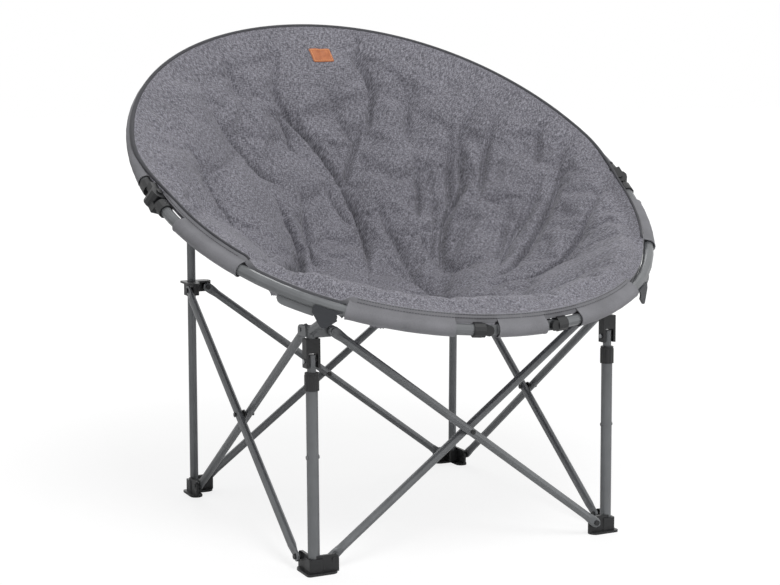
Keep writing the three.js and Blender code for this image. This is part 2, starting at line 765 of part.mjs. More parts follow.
// Half a knuckle: a half drum about its own axis with a neck that grips the arc
function knuckleHalf(side) {
  const centre = ringPoint(-knuckleAt);
  const away = ringTangent(-knuckleAt).multiplyScalar(side);
  const axis = knuckleAxis.clone().multiplyScalar(side);
  const end = shifted(centre, axis, knuckleHalfLength);
  const drum = rod(shifted(centre, axis, gap / 2), end, knuckleRadius, 12);
  const degreesPer = 1 / (ringPoint(-knuckleAt).distanceTo(ringPoint(-knuckleAt + 1)));
  const from = -knuckleAt + side * neckFrom * degreesPer;
  const to = -knuckleAt + side * neckTo * degreesPer;
  const neck = along(from, to, neckRadius, 0, ringSides);
  const armShape = new THREE.BoxGeometry(neckRadius * knuckleArmWide, knuckleHalfLength - gap,
    neckFrom + knuckleArmLap);
  armShape.translate(0, (knuckleHalfLength + gap) / 2, (neckFrom + knuckleArmLap) / 2);
  const arm = new THREE.Vector3().crossVectors(axis, away).normalize();
  const level = new THREE.Vector3().crossVectors(arm, axis).normalize();
  if (level.dot(away) < 0) level.negate();
  armShape.applyMatrix4(new THREE.Matrix4().makeBasis(
    new THREE.Vector3().crossVectors(axis, level), axis, level).setPosition(centre));
  const tubeWay = along(-knuckleAt + side * (arcKnuckleGap - tubeEndPlay), to + side,
    acrossFlats(ringTubeRadius + slip, ringSides), 0, ringSides);
  const pinWay = side < 0 ? rod(shifted(centre, axis, -overrun), shifted(end, axis, overrun),
    pivotPinRadius + gap) : rod(centre, shifted(end, axis, overrun), 0.01, 3);
  const body = cut(join(drum, neck, toSolid(armShape)), tubeWay);
  if (side < 0) return cut(body, pinWay);
  const far = shifted(centre, axis, -knuckleHalfLength);
  const bolt = rod(end, shifted(far, axis, -knuckleNutThick), pivotPinRadius);
  const nut = rod(shifted(far, axis, -gap), shifted(far, axis, -knuckleNutThick),
    pivotPinRadius * 2);
  return join(body, bolt, nut);
}

// Front clip with its slotted nose for the link's tongue
const linkAxis = new THREE.Vector3().crossVectors(ringTangent(-linkPivotAt), V(0, 0, 1)).normalize();

function clip() {
  const pivot = ringPoint(-linkPivotAt);
  const reach = clipRadius - clipMouthWall;
  const wrap = along(-linkPivotAt - clipStart, -clipEndAt, clipRadius, 0, ringSides);
  const nose = rod(shifted(pivot, linkAxis, -reach), shifted(pivot, linkAxis, reach),
    tongueRadius + noseWall, 12);
  const bore = along(-arcFrontAt + tubeEndPlay, -clipEndAt - 1,
    acrossFlats(ringTubeRadius + slip, ringSides), 0, ringSides);
  const slotSize = tongueHalf + gap;
  const slot = new THREE.BoxGeometry(clipSlotReach, slotSize * 2, tongueRadius * 2 + gap * 3);
  slot.translate(clipSlotReach / 2 - tongueRadius - gap, 0, 0);
  const tangent = ringTangent(-linkPivotAt);
  const up = new THREE.Vector3().crossVectors(tangent, linkAxis).normalize();
  slot.scale(1, 1, 3);
  slot.applyMatrix4(new THREE.Matrix4().makeBasis(tangent, linkAxis, up).setPosition(pivot));
  const pin = rod(shifted(pivot, linkAxis, -reach), shifted(pivot, linkAxis, reach),
    pinRadius);
  return join(cut(join(wrap, nose), bore, toSolid(slot)), pin);
}

function centreLink() {
  const bar = along(-linkTubeAt, linkTubeAt, ringTubeRadius, 0, ringSides);
  const tongues = [-1, 1].map((side) => {
    const pivot = ringPoint(side * linkPivotAt);
    const axis = linkAxis.clone().multiply(V(side < 0 ? 1 : -1, 1, 1));
    const low = shifted(pivot, axis, -tongueHalf);
    const high = shifted(pivot, axis, tongueHalf);
    const disc = rod(low, high, tongueRadius, 12);
    const inner = ringPoint(side * (linkTubeAt - linkTubeLap));
    const length = inner.distanceTo(pivot);
    const way = inner.clone().sub(pivot).normalize();
    const blade = new THREE.BoxGeometry(tongueRadius * bladeWide, tongueHalf * 2, length);
    blade.translate(0, 0, length / 2);
    blade.applyMatrix4(new THREE.Matrix4().makeBasis(
      new THREE.Vector3().crossVectors(axis, way), axis, way).setPosition(pivot));
    const hole = rod(shifted(low, axis, -overrun), shifted(high, axis, overrun), pinHole);
    return cut(join(disc, toSolid(blade)), hole);
  });
  return join(bar, ...tongues);
}

// Half of the hidden hinge at the back of the ring
function backHinge() {
  const wrap = along(-backHingeFrom, -backHingeTo, clipRadius, 0, ringSides);
  const bore = along(-backHingeFrom + 1, -arcBackAt - tubeEndPlay,
    acrossFlats(ringTubeRadius + slip, ringSides), 0,
    ringSides);
  return cut(wrap, bore);
}

// Saddle on a back post: cap, arm and a cradle open upward and outward
function saddle() {
  const post = V(-half, half, 0);
  const low = post.clone().setZ(backPostTop - saddleCapDrop);
  const high = post.clone().setZ(backPostTop + saddleCapOver);
  const target = ringPoint(-saddleAt);
  const tangent = ringTangent(-saddleAt);
  const cap = rod(low, high, saddleCapRadius, postSides);
  const inward = high.clone().sub(target);
  inward.addScaledVector(tangent, -inward.dot(tangent)).normalize();
  const cradleIn = sleeveRadius + cradleSlip;
  const cradleOut = cradleIn + cradleWall;
  const armEnd = shifted(target, inward, cradleIn + cradleWall / 2);
  const arm = rod(high.clone().setZ(backPostTop - saddleArmSunk), armEnd, saddleArmRadius, pinSides);
  const outline = new THREE.Shape();
  outline.absarc(0, 0, cradleOut, cradleFrom, cradleTo, false);
  outline.absarc(0, 0, cradleIn, cradleTo, cradleFrom, true);
  const body = new THREE.ExtrudeGeometry(outline,
    { depth: cradleLength, bevelEnabled: false, curveSegments: 10 });
  body.translate(0, 0, -cradleLength / 2);
  body.applyMatrix4(frameAt(target, tangent, inward));
  const ringWay = rod(shifted(target, tangent, -wayReach), shifted(target, tangent, wayReach),
    cradleIn, cradleSides);
  const bore = rod(low.clone().setZ(0), post.clone().setZ(backPostTop + gap),
    acrossFlats(backPostRadius + gap, postSides), postSides);
  return cut(join(cap, cut(arm, ringWay), toSolid(body)), bore);
}

// A place on the seat laid flat, for measuring how near a fold is
function onDisc(angle, share) {
  const reach = share * (ringRadius - padFoldInset);
  return V(reach * Math.sin(angle * deg), -reach * Math.cos(angle * deg), 0);
}

const foldPaths = padFoldShares.map(({ depth, width, line }) => {
  const corners = line.map(([angle, share]) => onDisc(angle, share));
  const points = new THREE.CatmullRomCurve3(corners, false, 'catmullrom').getPoints(padFoldSteps);
  return { depth: depth * padFoldDeep, width: width * padFoldWide + padFoldWiden, points };
});

// How deep the folds cut here, and how far the nearest one is
function foldsNear(angle, share) {
  const here = onDisc(angle, share);
  let cutDepth = 0;
  let nearest = Infinity;
  for (const { depth, width, points } of foldPaths) {
    let best = Infinity;
    let where = 0;
    points.forEach((point, i) => {
      const away = point.distanceTo(here);
      if (away < best) [best, where] = [away, i / (points.length - 1)];
    });
    const ends = THREE.MathUtils.smoothstep(where, ...foldStartShares)
      * (1 - THREE.MathUtils.smoothstep(where, ...foldStopShares));
    cutDepth = Math.max(cutDepth, depth * THREE.MathUtils.lerp(foldEndDepth, 1, ends)
      * Math.exp(-((best / width) ** foldSharp)));
    nearest = Math.min(nearest, best + foldEndFar * (1 - ends));
  }
  return [cutDepth, nearest];
}

// The bowl: a padded shell that swells between its folds and rolls over at the front
function padPoint(angle, share, under) {
  const { smoothstep, lerp } = THREE.MathUtils;
  const turn = angle > 180 ? angle - 360 : angle;
  const power = padSharp + padSharpTurn * Math.cos(angle * deg);
  const level = ringPoint(angle, share, padRimInset);
  const curve = (at) => (at ** 2 + padRound ** 2) ** (power / 2);
  const drop = padDepth * (1 - (curve(share) - curve(0)) / (curve(1) - curve(0)));
  const thick = lerp(padThickCentre, padThickRim, share ** 3);
  const inner = 1 - smoothstep(share, padRimFrom, 1);
  const lift = padRimLift + padFrontLift * smoothstep(turn, ...liftFrom)
    * (1 - smoothstep(turn, ...liftTo));
  const rim = lift * smoothstep(share, padLiftFrom, 1);
  if (under) return level.addScaledVector(ringNormal,
    -drop - thick / 2 - padUnderSlack * inner + rim * padUnderLift);
  const [cutDepth, nearest] = foldsNear(angle, share);
  const puff = padPuff * (1 - Math.exp(-nearest / padPuffReach))
    * Math.sin(Math.PI * share ** 1.6) ** 0.6;
  const front = smoothstep(turn, ...lipFrom) * (1 - smoothstep(turn, ...lipTo));
  const crown = lerp(padLipBack, padLipFront, front)
    * Math.max(0, Math.sin(Math.PI * smoothstep(share, lipStart, 1) ** lipLean)) ** lipRound;
  const height = thick / 2 + rim + crown + (puff - padPuffDown - cutDepth) * inner;
  return level.addScaledVector(ringNormal, height - drop);
}

function pad() {
  const positions = [];
  const index = [];
  const push = (p) => positions.push(p.x, p.y, p.z) / 3 - 1;
  const grid = (count, under) => Array.from({ length: count }, (_, r) => {
    const share = ((r + 1) / count) ** padRowCrowd;
    return Array.from({ length: padAround },
      (__, i) => push(padPoint(((i + 0.5) / padAround) * 360, share, under)));
  });
  const sides = [[padTopRings, false], [padUnderRings, true]].map(([count, under]) => {
    const rows = grid(count, under);
    const middle = push(padPoint(0, nearCentre, under));
    const face = (a, b, c) => (under ? index.push(a, c, b) : index.push(a, b, c));
    for (let i = 0; i < padAround; i += 1) {
      const j = (i + 1) % padAround;
      face(middle, rows[0][i], rows[0][j]);
      for (let r = 0; r < count - 1; r += 1) {
        face(rows[r][i], rows[r + 1][i], rows[r + 1][j]);
        face(rows[r][i], rows[r + 1][j], rows[r][j]);
      }
    }
    return rows[count - 1];
  });
  for (let i = 0; i < padAround; i += 1) {
    const j = (i + 1) % padAround;
    index.push(sides[0][i], sides[1][i], sides[1][j], sides[0][i], sides[1][j], sides[0][j]);
  }
  const shape = new THREE.BufferGeometry();
  shape.setAttribute('position', new THREE.Float32BufferAttribute(positions, 3));
  shape.setIndex(index);
  return toSolid(shape);
}

// Room in the pad's edge for a knuckle and a saddle
function padRoom() {
  const knuckle = ringPoint(-knuckleAt);
  const cradle = ringPoint(-saddleAt);
  const tangent = ringTangent(-saddleAt);
  return join(
    rod(shifted(knuckle, knuckleAxis, -roomReach), shifted(knuckle, knuckleAxis, roomReach),
      knuckleRadius + roomPlay),
    rod(ringPoint(-knuckleAt - roomTurn), ringPoint(-knuckleAt + roomTurn), armRoom),
    rod(shifted(cradle, tangent, -cradleRoomHalf), shifted(cradle, tangent, cradleRoomHalf),
      cradleRoom),
    rod(V(-half, half, 0), V(-half, half, backPostTop + capRoomHigh), saddleCapRadius + capPlay),
    rod(V(-half, half, backPostTop + armRoomFrom), cradle, saddleArmRadius + armPlay),
  );
}

function padQuarter(whole, side, front) {
  const spoke = ringPoint(side * knuckleAt).sub(ringCentre);
  const wall = new THREE.Vector3().crossVectors(ringNormal, spoke).normalize();
  if (wall.y > 0 !== !front) wall.negate();
  const offset = wall.dot(ringCentre) + gap / 2;
  return whole.trimByPlane([side, 0, 0], gap / 2).trimByPlane(wall.toArray(), offset);
}

// Finishes
const powder = { color: 0x4a4c50, roughness: 0.45, metalness: 0.5 };
const plastic = { color: 0x17181a, roughness: 0.5, metalness: 0 };
const zinc = { color: 0x9a9da1, roughness: 0.35, metalness: 0.8 };
const fabric = { color: 0x85848b, roughness: 0.95, metalness: 0 };
const sleeveCloth = { color: 0x77767c, roughness: 0.95, metalness: 0 };

const chair = new THREE.Group();
chair.name = 'folding_saucer_chair';

function add(name, solid, finish) {
  const mesh = new THREE.Mesh(toGeometry(solid), new THREE.MeshStandardMaterial(finish));
  mesh.name = name;
  chair.add(mesh);
}

for (const [name, corner] of Object.entries(corners)) {
  const place = cornerMatrix(corner);
  const key = name.toLowerCase();
  const front = corner.y < 0;
  const tilt = front ? lean : upright;
  const send = (solid) => moved(solid, place);
  add(`foot_${key}`, send(foot(corner, tilt, front ? outerPostRadius : backPostRadius)), plastic);
  if (front) {
    add(`post_${key}`, send(moved(outerPost(), tilt)), powder);
    add(`collar_${key}`, send(moved(collar(), tilt)), plastic);
    add(`inner_tube_${key}`, send(moved(innerTube(), tilt)), powder);
    add(`fork_${key}`, send(moved(fork(), tilt)), plastic);
    add(`fork_pin_${key}`, send(moved(forkPin(), tilt)), zinc);
    const back = place.clone().invert();
    const pivotHere = hubPivot.clone().multiply(V(-corner.x, 1, 1)).applyMatrix4(back);
    const axisHere = hubAxis.clone().multiply(V(1, 1, 1));
    add(`hub_${key}`, send(hubBracket(corner, pivotHere, axisHere)), powder);
  } else {
    const post = tube(socketFloor, backPostTop, backPostRadius, backPostBore, postSides);
    add(`post_${key}`, send(post), powder);
    add(`slider_${key}`, send(slider(corner)), plastic);
  }
}

// Braces: each starts at the first corner's foot and ends over the second
const laid = {
  ab1: { corner: corners.A, outer: false, tilt: lean, swap: false, open: false },
  ab2: { corner: corners.B, outer: true, tilt: lean, swap: false, open: false },
  cd1: { corner: corners.C, outer: true, tilt: upright, swap: false, open: false },
  cd2: { corner: corners.D, outer: false, tilt: upright, swap: false, open: false },
  ac1: { corner: corners.A, outer: true, tilt: upright, swap: true, open: false },
  ac2: { corner: corners.C, outer: false, tilt: upright, swap: true, open: true },
  bd1: { corner: corners.B, outer: false, tilt: upright, swap: true, open: false },
  bd2: { corner: corners.D, outer: true, tilt: upright, swap: true, open: true },
};
for (const [name, one] of Object.entries(laid)) {
  let solid = layBrace(brace(one.open), one.corner, one.outer);
  if (one.swap) solid = moved(solid, swapXY);
  solid = moved(solid, one.tilt);
  add(`brace_${name}`, moved(solid, cornerMatrix(one.corner)), powder);
}
for (const [name, corner, swap] of [['ab', corners.A, false], ['cd', corners.C, false],
  ['ac', corners.A, true], ['bd', corners.B, true]]) {
  let solid = crossRivet();
  if (swap) solid = moved(solid, swapXY);
  if (name === 'ab') solid = moved(solid, lean);
  add(`rivet_${name}`, moved(solid, cornerMatrix(corner)), plastic);
}

const flip = (solid) => solid.mirror([1, 0, 0]);
const room = padRoom();
const bowl = cut(pad(), room, flip(room));
const sided = {
  arc_front: [frontArc(), powder],
  arc_back: [backArc(), powder],
  ring_bracket: [ringBracket(), powder],
  knuckle_front: [knuckleHalf(1), plastic],
  knuckle_back: [knuckleHalf(-1), plastic],
  clip: [clip(), plastic],
  back_hinge: [backHinge(), plastic],
  saddle: [saddle(), powder],
  sleeve_front: [sleeve(-sleeveFrontFrom, -sleeveFrontTo), sleeveCloth],
  sleeve_side: [sleeve(-sleeveSideFrom, -sleeveSideTo), sleeveCloth],
  sleeve_back: [sleeve(-sleeveBackFrom, -sleeveBackTo), sleeveCloth],
};
for (const [name, [solid, finish]] of Object.entries(sided)) {
  add(`${name}_right`, solid, finish);
  add(`${name}_left`, flip(solid), finish);
}
for (const [name, side] of [['right', -1], ['left', 1]]) {
  add(`pad_front_${name}`, padQuarter(bowl, side, true), fabric);
  add(`pad_back_${name}`, padQuarter(bowl, side, false), fabric);
}
add('centre_link', centreLink(), powder);
add('sleeve_centre', sleeve(-linkTubeAt + sleeveEndShort, linkTubeAt - sleeveEndShort), sleeveCloth);

// The floor stays at zero and the chair's footprint is centred
const bounds = new THREE.Box3().setFromObject(chair);
const middleX = (bounds.min.x + bounds.max.x) / 2;
const middleY = (bounds.min.y + bounds.max.y) / 2;
chair.children.forEach((mesh) => mesh.geometry.translate(-middleX, -middleY, 0));

export default chair;
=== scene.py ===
import json
import math
import bpy
import numpy as np
from mathutils import Matrix, Vector, noise


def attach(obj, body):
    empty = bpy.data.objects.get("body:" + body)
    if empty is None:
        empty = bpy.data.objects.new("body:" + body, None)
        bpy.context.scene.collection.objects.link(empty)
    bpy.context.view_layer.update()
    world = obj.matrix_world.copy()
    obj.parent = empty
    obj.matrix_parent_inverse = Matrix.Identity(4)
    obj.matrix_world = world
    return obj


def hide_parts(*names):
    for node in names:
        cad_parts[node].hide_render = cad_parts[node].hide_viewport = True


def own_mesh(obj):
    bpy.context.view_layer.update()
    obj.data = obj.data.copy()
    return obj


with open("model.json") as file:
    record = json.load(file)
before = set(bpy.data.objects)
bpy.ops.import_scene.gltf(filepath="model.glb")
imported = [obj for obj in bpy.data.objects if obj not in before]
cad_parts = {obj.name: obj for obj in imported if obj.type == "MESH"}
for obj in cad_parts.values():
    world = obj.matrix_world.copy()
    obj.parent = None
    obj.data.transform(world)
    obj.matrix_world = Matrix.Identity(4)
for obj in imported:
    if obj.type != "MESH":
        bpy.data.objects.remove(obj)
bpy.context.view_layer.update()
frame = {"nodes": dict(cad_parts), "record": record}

mm = 0.001


def report(text):
    print("saucer chair:", text)


def linear(hexText, gain=1.0):
    # sRGB hex to the linear values that shaders take; gain makes the colour lighter or darker
    out = []
    for i in (0, 2, 4):
        c = int(hexText[i:i + 2], 16) / 255
        out.append(gain * (c / 12.92 if c <= 0.04045 else ((c + 0.055) / 1.055) ** 2.4))
    return (*out, 1.0)


def addNode(tree, kind, settings=None, values=None, links=None, stops=None, to=None):
    # one node with its settings, socket values and incoming links, a ramp's stops, and the socket it feeds
    node = tree.nodes.new(kind)
    for key, value in (settings or {}).items():
        setattr(node, key, value)
    for key, value in (values or {}).items():
        node.inputs[key].default_value = value
    for key, source in (links or {}).items():
        tree.links.new(source, node.inputs[key])
    for i, (place, colour) in enumerate(stops or ()):
        stop = node.color_ramp.elements[i] if i < 2 else node.color_ramp.elements.new(place)
        stop.position, stop.color = place, colour
    if to:
        tree.links.new(node.outputs[0], to)
    return node


def perMetre(size):
    # scale of a pattern on Object coordinates whose cells are size mm across
    return 1 / (size * mm)


def newMaterial(name, roughness, metallic=0.0, ior=1.5, sheen=0.0):
    material = bpy.data.materials.new(name)
    material.use_nodes = True
    tree = material.node_tree
    shader = tree.nodes["Principled BSDF"]
    shader.inputs["Roughness"].default_value = roughness
    shader.inputs["Metallic"].default_value = metallic
    shader.inputs["IOR"].default_value = ior
    shader.inputs["Sheen Weight"].default_value = sheen
    return material, tree, shader


def deselectAll():
    for o in bpy.context.selected_objects:
        o.select_set(False)
    bpy.context.view_layer.objects.active = None


def meshObject(name, points, faces, material):
    mesh = bpy.data.meshes.new(name)
    mesh.from_pydata([tuple(p) for p in points], [], faces)
    mesh.update()
    mesh.polygons.foreach_set("use_smooth", [True] * len(mesh.polygons))
    mesh.materials.append(material)
    o = bpy.data.objects.new(name, mesh)
    bpy.context.scene.collection.objects.link(o)
    return o


def faceOutward(piece, smoothAngle=None):
    # normals out; with an angle in degrees, edges sharper than it stay sharp
    deselectAll()
    piece.select_set(True)
    bpy.context.view_layer.objects.active = piece
    bpy.ops.object.mode_set(mode="EDIT")
    bpy.ops.mesh.select_all(action="SELECT")
    bpy.ops.mesh.normals_make_consistent(inside=False)
    bpy.ops.object.mode_set(mode="OBJECT")
    if smoothAngle:
        bpy.ops.object.shade_smooth_by_angle(angle=math.radians(smoothAngle))


def smooth(x, low, high):
    t = np.clip((np.asarray(x, float) - low) / (high - low), 0, 1)
    return t * t * (3 - 2 * t)


# degrees, metres; the lens in mm
photoView = {
    "azimuth": -26.616, "elevation": 8.033, "distance": 3.0725, "roll": 0.152,
    "lens": 76.74, "sensor": 36, "aim": (0.0, 0.0367, 0.415), "asideOfAim": -0.0038,
}


def makeCamera(view):
    a, e = math.radians(view["azimuth"]), math.radians(view["elevation"])
    back = Vector((math.sin(a) * math.cos(e), -math.cos(a) * math.cos(e), math.sin(e)))
    level = Vector((math.cos(a), math.sin(a), 0))
    upright = back.cross(level)
    r = math.radians(view["roll"])
    right = level * math.cos(r) + upright * math.sin(r)
    up = upright * math.cos(r) - level * math.sin(r)
    data = bpy.data.cameras.new("photoCamera")
    data.sensor_width = view["sensor"]
    data.lens = view["lens"]
    cam = bpy.data.objects.new("photoCamera", data)
    bpy.context.scene.collection.objects.link(cam)
    m = Matrix((right, up, back)).transposed().to_4x4()
    m.translation = Vector(view["aim"]) + level * view["asideOfAim"] + back * view["distance"]
    cam.matrix_world = m
    bpy.context.scene.camera = cam


# metres and watts; the floor turns white from shadowNear to shadowFar
studio = {
    "world": 0.34, "floorColour": "F4F4F4", "floorSize": 40, "floorUnder": 0.0005, "floorRoughness": 0.9,
    "shadowNear": 0.7, "shadowFar": 2.6, "whiteNear": 0.72, "glow": 1.1, "lampAim": (0, 0, 0.45),
    "lamps": {
        "keyLight": {"power": 105.0, "size": 1.6, "place": (-0.4, -2.6, 3.6)},
        "fillLight": {"power": 18.0, "size": 3.0, "place": (2.8, -2.0, 1.8)},
        "backLight": {"power": 40.0, "size": 2.6, "place": (0.8, 2.8, 2.8)},
    },
}
white = (1, 1, 1, 1)


def makeWorld(s):
    # white where the camera or a reflection looks, softer as a light
    world = bpy.data.worlds.new("studioWorld")
    bpy.context.scene.world = world
    world.use_nodes = True
    tree = world.node_tree
    tree.nodes.clear()
    path = addNode(tree, "ShaderNodeLightPath")
    seen = addNode(tree, "ShaderNodeMath", {"operation": "MAXIMUM"},
                   links={0: path.outputs["Is Camera Ray"], 1: path.outputs["Is Glossy Ray"]})
    soft = addNode(tree, "ShaderNodeBackground", values={"Color": white, "Strength": s["world"]})
    full = addNode(tree, "ShaderNodeBackground", values={"Color": white, "Strength": 1.0})
    mix = addNode(tree, "ShaderNodeMixShader", links={
        0: seen.outputs[0], 1: soft.outputs[0], 2: full.outputs[0]})
    addNode(tree, "ShaderNodeOutputWorld", links={"Surface": mix.outputs[0]})


def makeLamps(s):
    for name, lamp in s["lamps"].items():
        data = bpy.data.lights.new(name, "AREA")
        data.energy = lamp["power"]
        data.size = lamp["size"]
        o = bpy.data.objects.new(name, data)
        bpy.context.scene.collection.objects.link(o)
        o.location = lamp["place"]
        o.rotation_euler = (Vector(s["lampAim"]) - Vector(lamp["place"])).to_track_quat("-Z", "Y").to_euler()


def makeFloor(s):
    # matt paper that catches the shadow and fades to white away from the chair
    deselectAll()
    bpy.ops.mesh.primitive_plane_add(size=s["floorSize"], location=(0, 0, -s["floorUnder"]))
    floor = bpy.context.object
    floor.name = "studioFloor"
    material, tree, shader = newMaterial("paleStudioPaper", s["floorRoughness"])
    shader.inputs["Base Color"].default_value = linear(s["floorColour"])
    path = addNode(tree, "ShaderNodeLightPath")
    glow = addNode(tree, "ShaderNodeEmission", values={"Color": white, "Strength": s["glow"]})
    ground = addNode(tree, "ShaderNodeTexCoord").outputs["Object"]
    away = addNode(tree, "ShaderNodeVectorMath", {"operation": "LENGTH"}, links={0: ground})
    fade = addNode(tree, "ShaderNodeMapRange", values={
        "From Min": s["shadowNear"], "From Max": s["shadowFar"], "To Min": s["whiteNear"], "To Max": 1.0},
        links={"Value": away.outputs["Value"]})
    part = addNode(tree, "ShaderNodeMath", {"operation": "MULTIPLY"},
                   links={0: path.outputs["Is Camera Ray"], 1: fade.outputs[0]})
    addNode(tree, "ShaderNodeMixShader", links={0: part.outputs[0], 1: shader.outputs[0], 2: glow.outputs[0]},
            to=tree.nodes["Material Output"].inputs["Surface"])
    floor.data.materials.append(material)


makeCamera(photoView)
bpy.context.scene.view_settings.view_transform = "Standard"
makeWorld(studio)
makeLamps(studio)
makeFloor(studio)
report("camera and studio stand")

# yarn sizes in mm on the laid-flat seat, both drawn coarser than real yarn, so that they show
clothLook = {
    "thread": 1.35, "slub": 6.0, "cloud": 71.4, "cloudShare": 0.16, "spread": (0.86, 1.3),
    "dark": "55545A", "mid": "75747C", "light": "98979F", "bump": 0.35, "bumpDeep": 1.2,
}


def heatherCloth(look):
    # melange polyester canvas, woven from light and dark yarn: a soft fleck in both thread directions
    material, tree, shader = newMaterial("heatherPolyesterCanvas", roughness=0.92, ior=1.45, sheen=0.12)
    flat = addNode(tree, "ShaderNodeUVMap", {"uv_map": "laidFlat"}).outputs[0]
    thread, slub = 1 / look["thread"], 1 / look["slub"]
    layers = []
    for scale in ((slub, thread, 1), (thread, slub, 1)):
        squeeze = addNode(tree, "ShaderNodeMapping", values={"Scale": scale}, links={"Vector": flat}).outputs[0]
        layers.append(addNode(tree, "ShaderNodeTexNoise", {"noise_dimensions": "2D"}, {
            "Scale": 1.0, "Detail": 2.0, "Roughness": 0.6}, {"Vector": squeeze}).outputs["Fac"])
    yarn = addNode(tree, "ShaderNodeMath", {"operation": "ADD"}, links={0: layers[0], 1: layers[1]}).outputs[0]
    cloud = addNode(tree, "ShaderNodeTexNoise", {"noise_dimensions": "2D"}, {
        "Scale": 1 / look["cloud"], "Detail": 3.0}, {"Vector": flat}).outputs["Fac"]
    mixed = addNode(tree, "ShaderNodeMath", {"operation": "MULTIPLY_ADD"}, {1: look["cloudShare"]},
                    {0: cloud, 2: yarn}).outputs[0]
    spread = addNode(tree, "ShaderNodeMapRange", values={
        "From Min": look["spread"][0], "From Max": look["spread"][1], "To Min": 0.0, "To Max": 1.0},
        links={"Value": mixed}).outputs[0]
    addNode(tree, "ShaderNodeValToRGB", links={"Fac": spread}, to=shader.inputs["Base Color"], stops=[
        (0.0, linear(look["dark"])), (0.5, linear(look["mid"])), (1.0, linear(look["light"]))])
    addNode(tree, "ShaderNodeBump", values={"Strength": look["bump"], "Distance": look["bumpDeep"] * mm},
            links={"Height": yarn}, to=shader.inputs["Normal"])
    return material


def plainCloth(name, hexText, bump=0.25):
    # plain woven polyester, calendered flat: even grey with faint threads, drawn coarser than real ones
    material, tree, shader = newMaterial(name, roughness=0.78, ior=1.45, sheen=0.05)
    place = addNode(tree, "ShaderNodeTexCoord").outputs["Object"]
    weave = addNode(tree, "ShaderNodeTexNoise", values={"Scale": perMetre(2.38), "Detail": 2.0},
                    links={"Vector": place}).outputs["Fac"]
    cloud = addNode(tree, "ShaderNodeTexNoise", values={"Scale": perMetre(38.5), "Detail": 2.0},
                    links={"Vector": place}).outputs["Fac"]
    mixed = addNode(tree, "ShaderNodeMath", {"operation": "MULTIPLY_ADD"}, {1: 0.5},
                    {0: weave, 2: cloud}).outputs[0]
    addNode(tree, "ShaderNodeValToRGB", links={"Fac": mixed}, to=shader.inputs["Base Color"], stops=[
        (0.5, linear(hexText, 0.86)), (0.75, linear(hexText)), (1.0, linear(hexText, 1.1))])
    addNode(tree, "ShaderNodeBump", values={"Strength": bump, "Distance": 0.6 * mm},
            links={"Height": weave}, to=shader.inputs["Normal"])
    return material


def powderCoat(name, hexText, roughness, metallic):
    # grey powder coat over steel: orange peel of 1.5 mm and a slight metal flake
    material, tree, shader = newMaterial(name, roughness, metallic)
    place = addNode(tree, "ShaderNodeTexCoord").outputs["Object"]
    peel = addNode(tree, "ShaderNodeTexNoise", values={"Scale": perMetre(1.54), "Detail": 2.0},
                   links={"Vector": place}).outputs["Fac"]
    wear = addNode(tree, "ShaderNodeTexNoise", values={"Scale": perMetre(33.3), "Detail": 4.0},
                   links={"Vector": place}).outputs["Fac"]
    addNode(tree, "ShaderNodeValToRGB", links={"Fac": wear}, to=shader.inputs["Base Color"], stops=[
        (0.3, linear(hexText, 0.92)), (0.7, linear(hexText, 1.08))])
    addNode(tree, "ShaderNodeMapRange", values={"To Min": roughness - 0.06, "To Max": roughness + 0.08},
            links={"Value": wear}, to=shader.inputs["Roughness"])
    addNode(tree, "ShaderNodeBump", values={"Strength": 0.12, "Distance": 0.3 * mm},
            links={"Height": peel}, to=shader.inputs["Normal"])
    return material


def mouldedNylon():
    # black glass-filled nylon, spark-eroded mould: soft sheen, and a fine grain drawn ten times coarser
    material, tree, shader = newMaterial("mouldedBlackNylon", roughness=0.46, ior=1.53)
    place = addNode(tree, "ShaderNodeTexCoord").outputs["Object"]
    cloud = addNode(tree, "ShaderNodeTexNoise", values={"Scale": perMetre(25), "Detail": 3.0},
                    links={"Vector": place}).outputs["Fac"]
    addNode(tree, "ShaderNodeValToRGB", links={"Fac": cloud}, to=shader.inputs["Base Color"], stops=[
        (0.3, linear("0E0F11")), (0.7, linear("17181A"))])
    grain = addNode(tree, "ShaderNodeTexNoise", values={"Scale": perMetre(1.11), "Detail": 2.0},
                    links={"Vector": place}).outputs["Fac"]
    addNode(tree, "ShaderNodeBump", values={"Strength": 0.15, "Distance": 0.3 * mm},
            links={"Height": grain}, to=shader.inputs["Normal"])
    return material


def zincSteel():
    # zinc-plated rivet steel: pale, clouded by tumbling
    material, tree, shader = newMaterial("zincPlatedSteel", roughness=0.34, metallic=0.9)
    place = addNode(tree, "ShaderNodeTexCoord").outputs["Object"]
    cloud = addNode(tree, "ShaderNodeTexNoise", values={"Scale": perMetre(5), "Detail": 3.0},
                    links={"Vector": place}).outputs["Fac"]
    addNode(tree, "ShaderNodeValToRGB", links={"Fac": cloud}, to=shader.inputs["Base Color"], stops=[
        (0.3, linear("9A9C9F")), (0.7, linear("B9BBBE"))])
    return material


def splitLeather():
    # orange-brown split leather, lightly waxed: grain of 1.1 mm in uneven brown
    material, tree, shader = newMaterial("waxedSplitLeather", roughness=0.55, ior=1.5, sheen=0.05)
    place = addNode(tree, "ShaderNodeTexCoord").outputs["Object"]
    grain = addNode(tree, "ShaderNodeTexVoronoi", values={"Scale": perMetre(1.11)},
                    links={"Vector": place}).outputs["Distance"]
    cloud = addNode(tree, "ShaderNodeTexNoise", values={"Scale": perMetre(8.33), "Detail": 4.0},
                    links={"Vector": place}).outputs["Fac"]
    addNode(tree, "ShaderNodeValToRGB", links={"Fac": cloud}, to=shader.inputs["Base Color"], stops=[
        (0.3, linear("A45E38")), (0.7, linear("BE7448"))])
    addNode(tree, "ShaderNodeBump", values={"Strength": 0.3, "Distance": 0.4 * mm},
            links={"Height": grain}, to=shader.inputs["Normal"])
    return material


threadTones = {"cover": "3A3A3E", "patch": "E0A06C"}

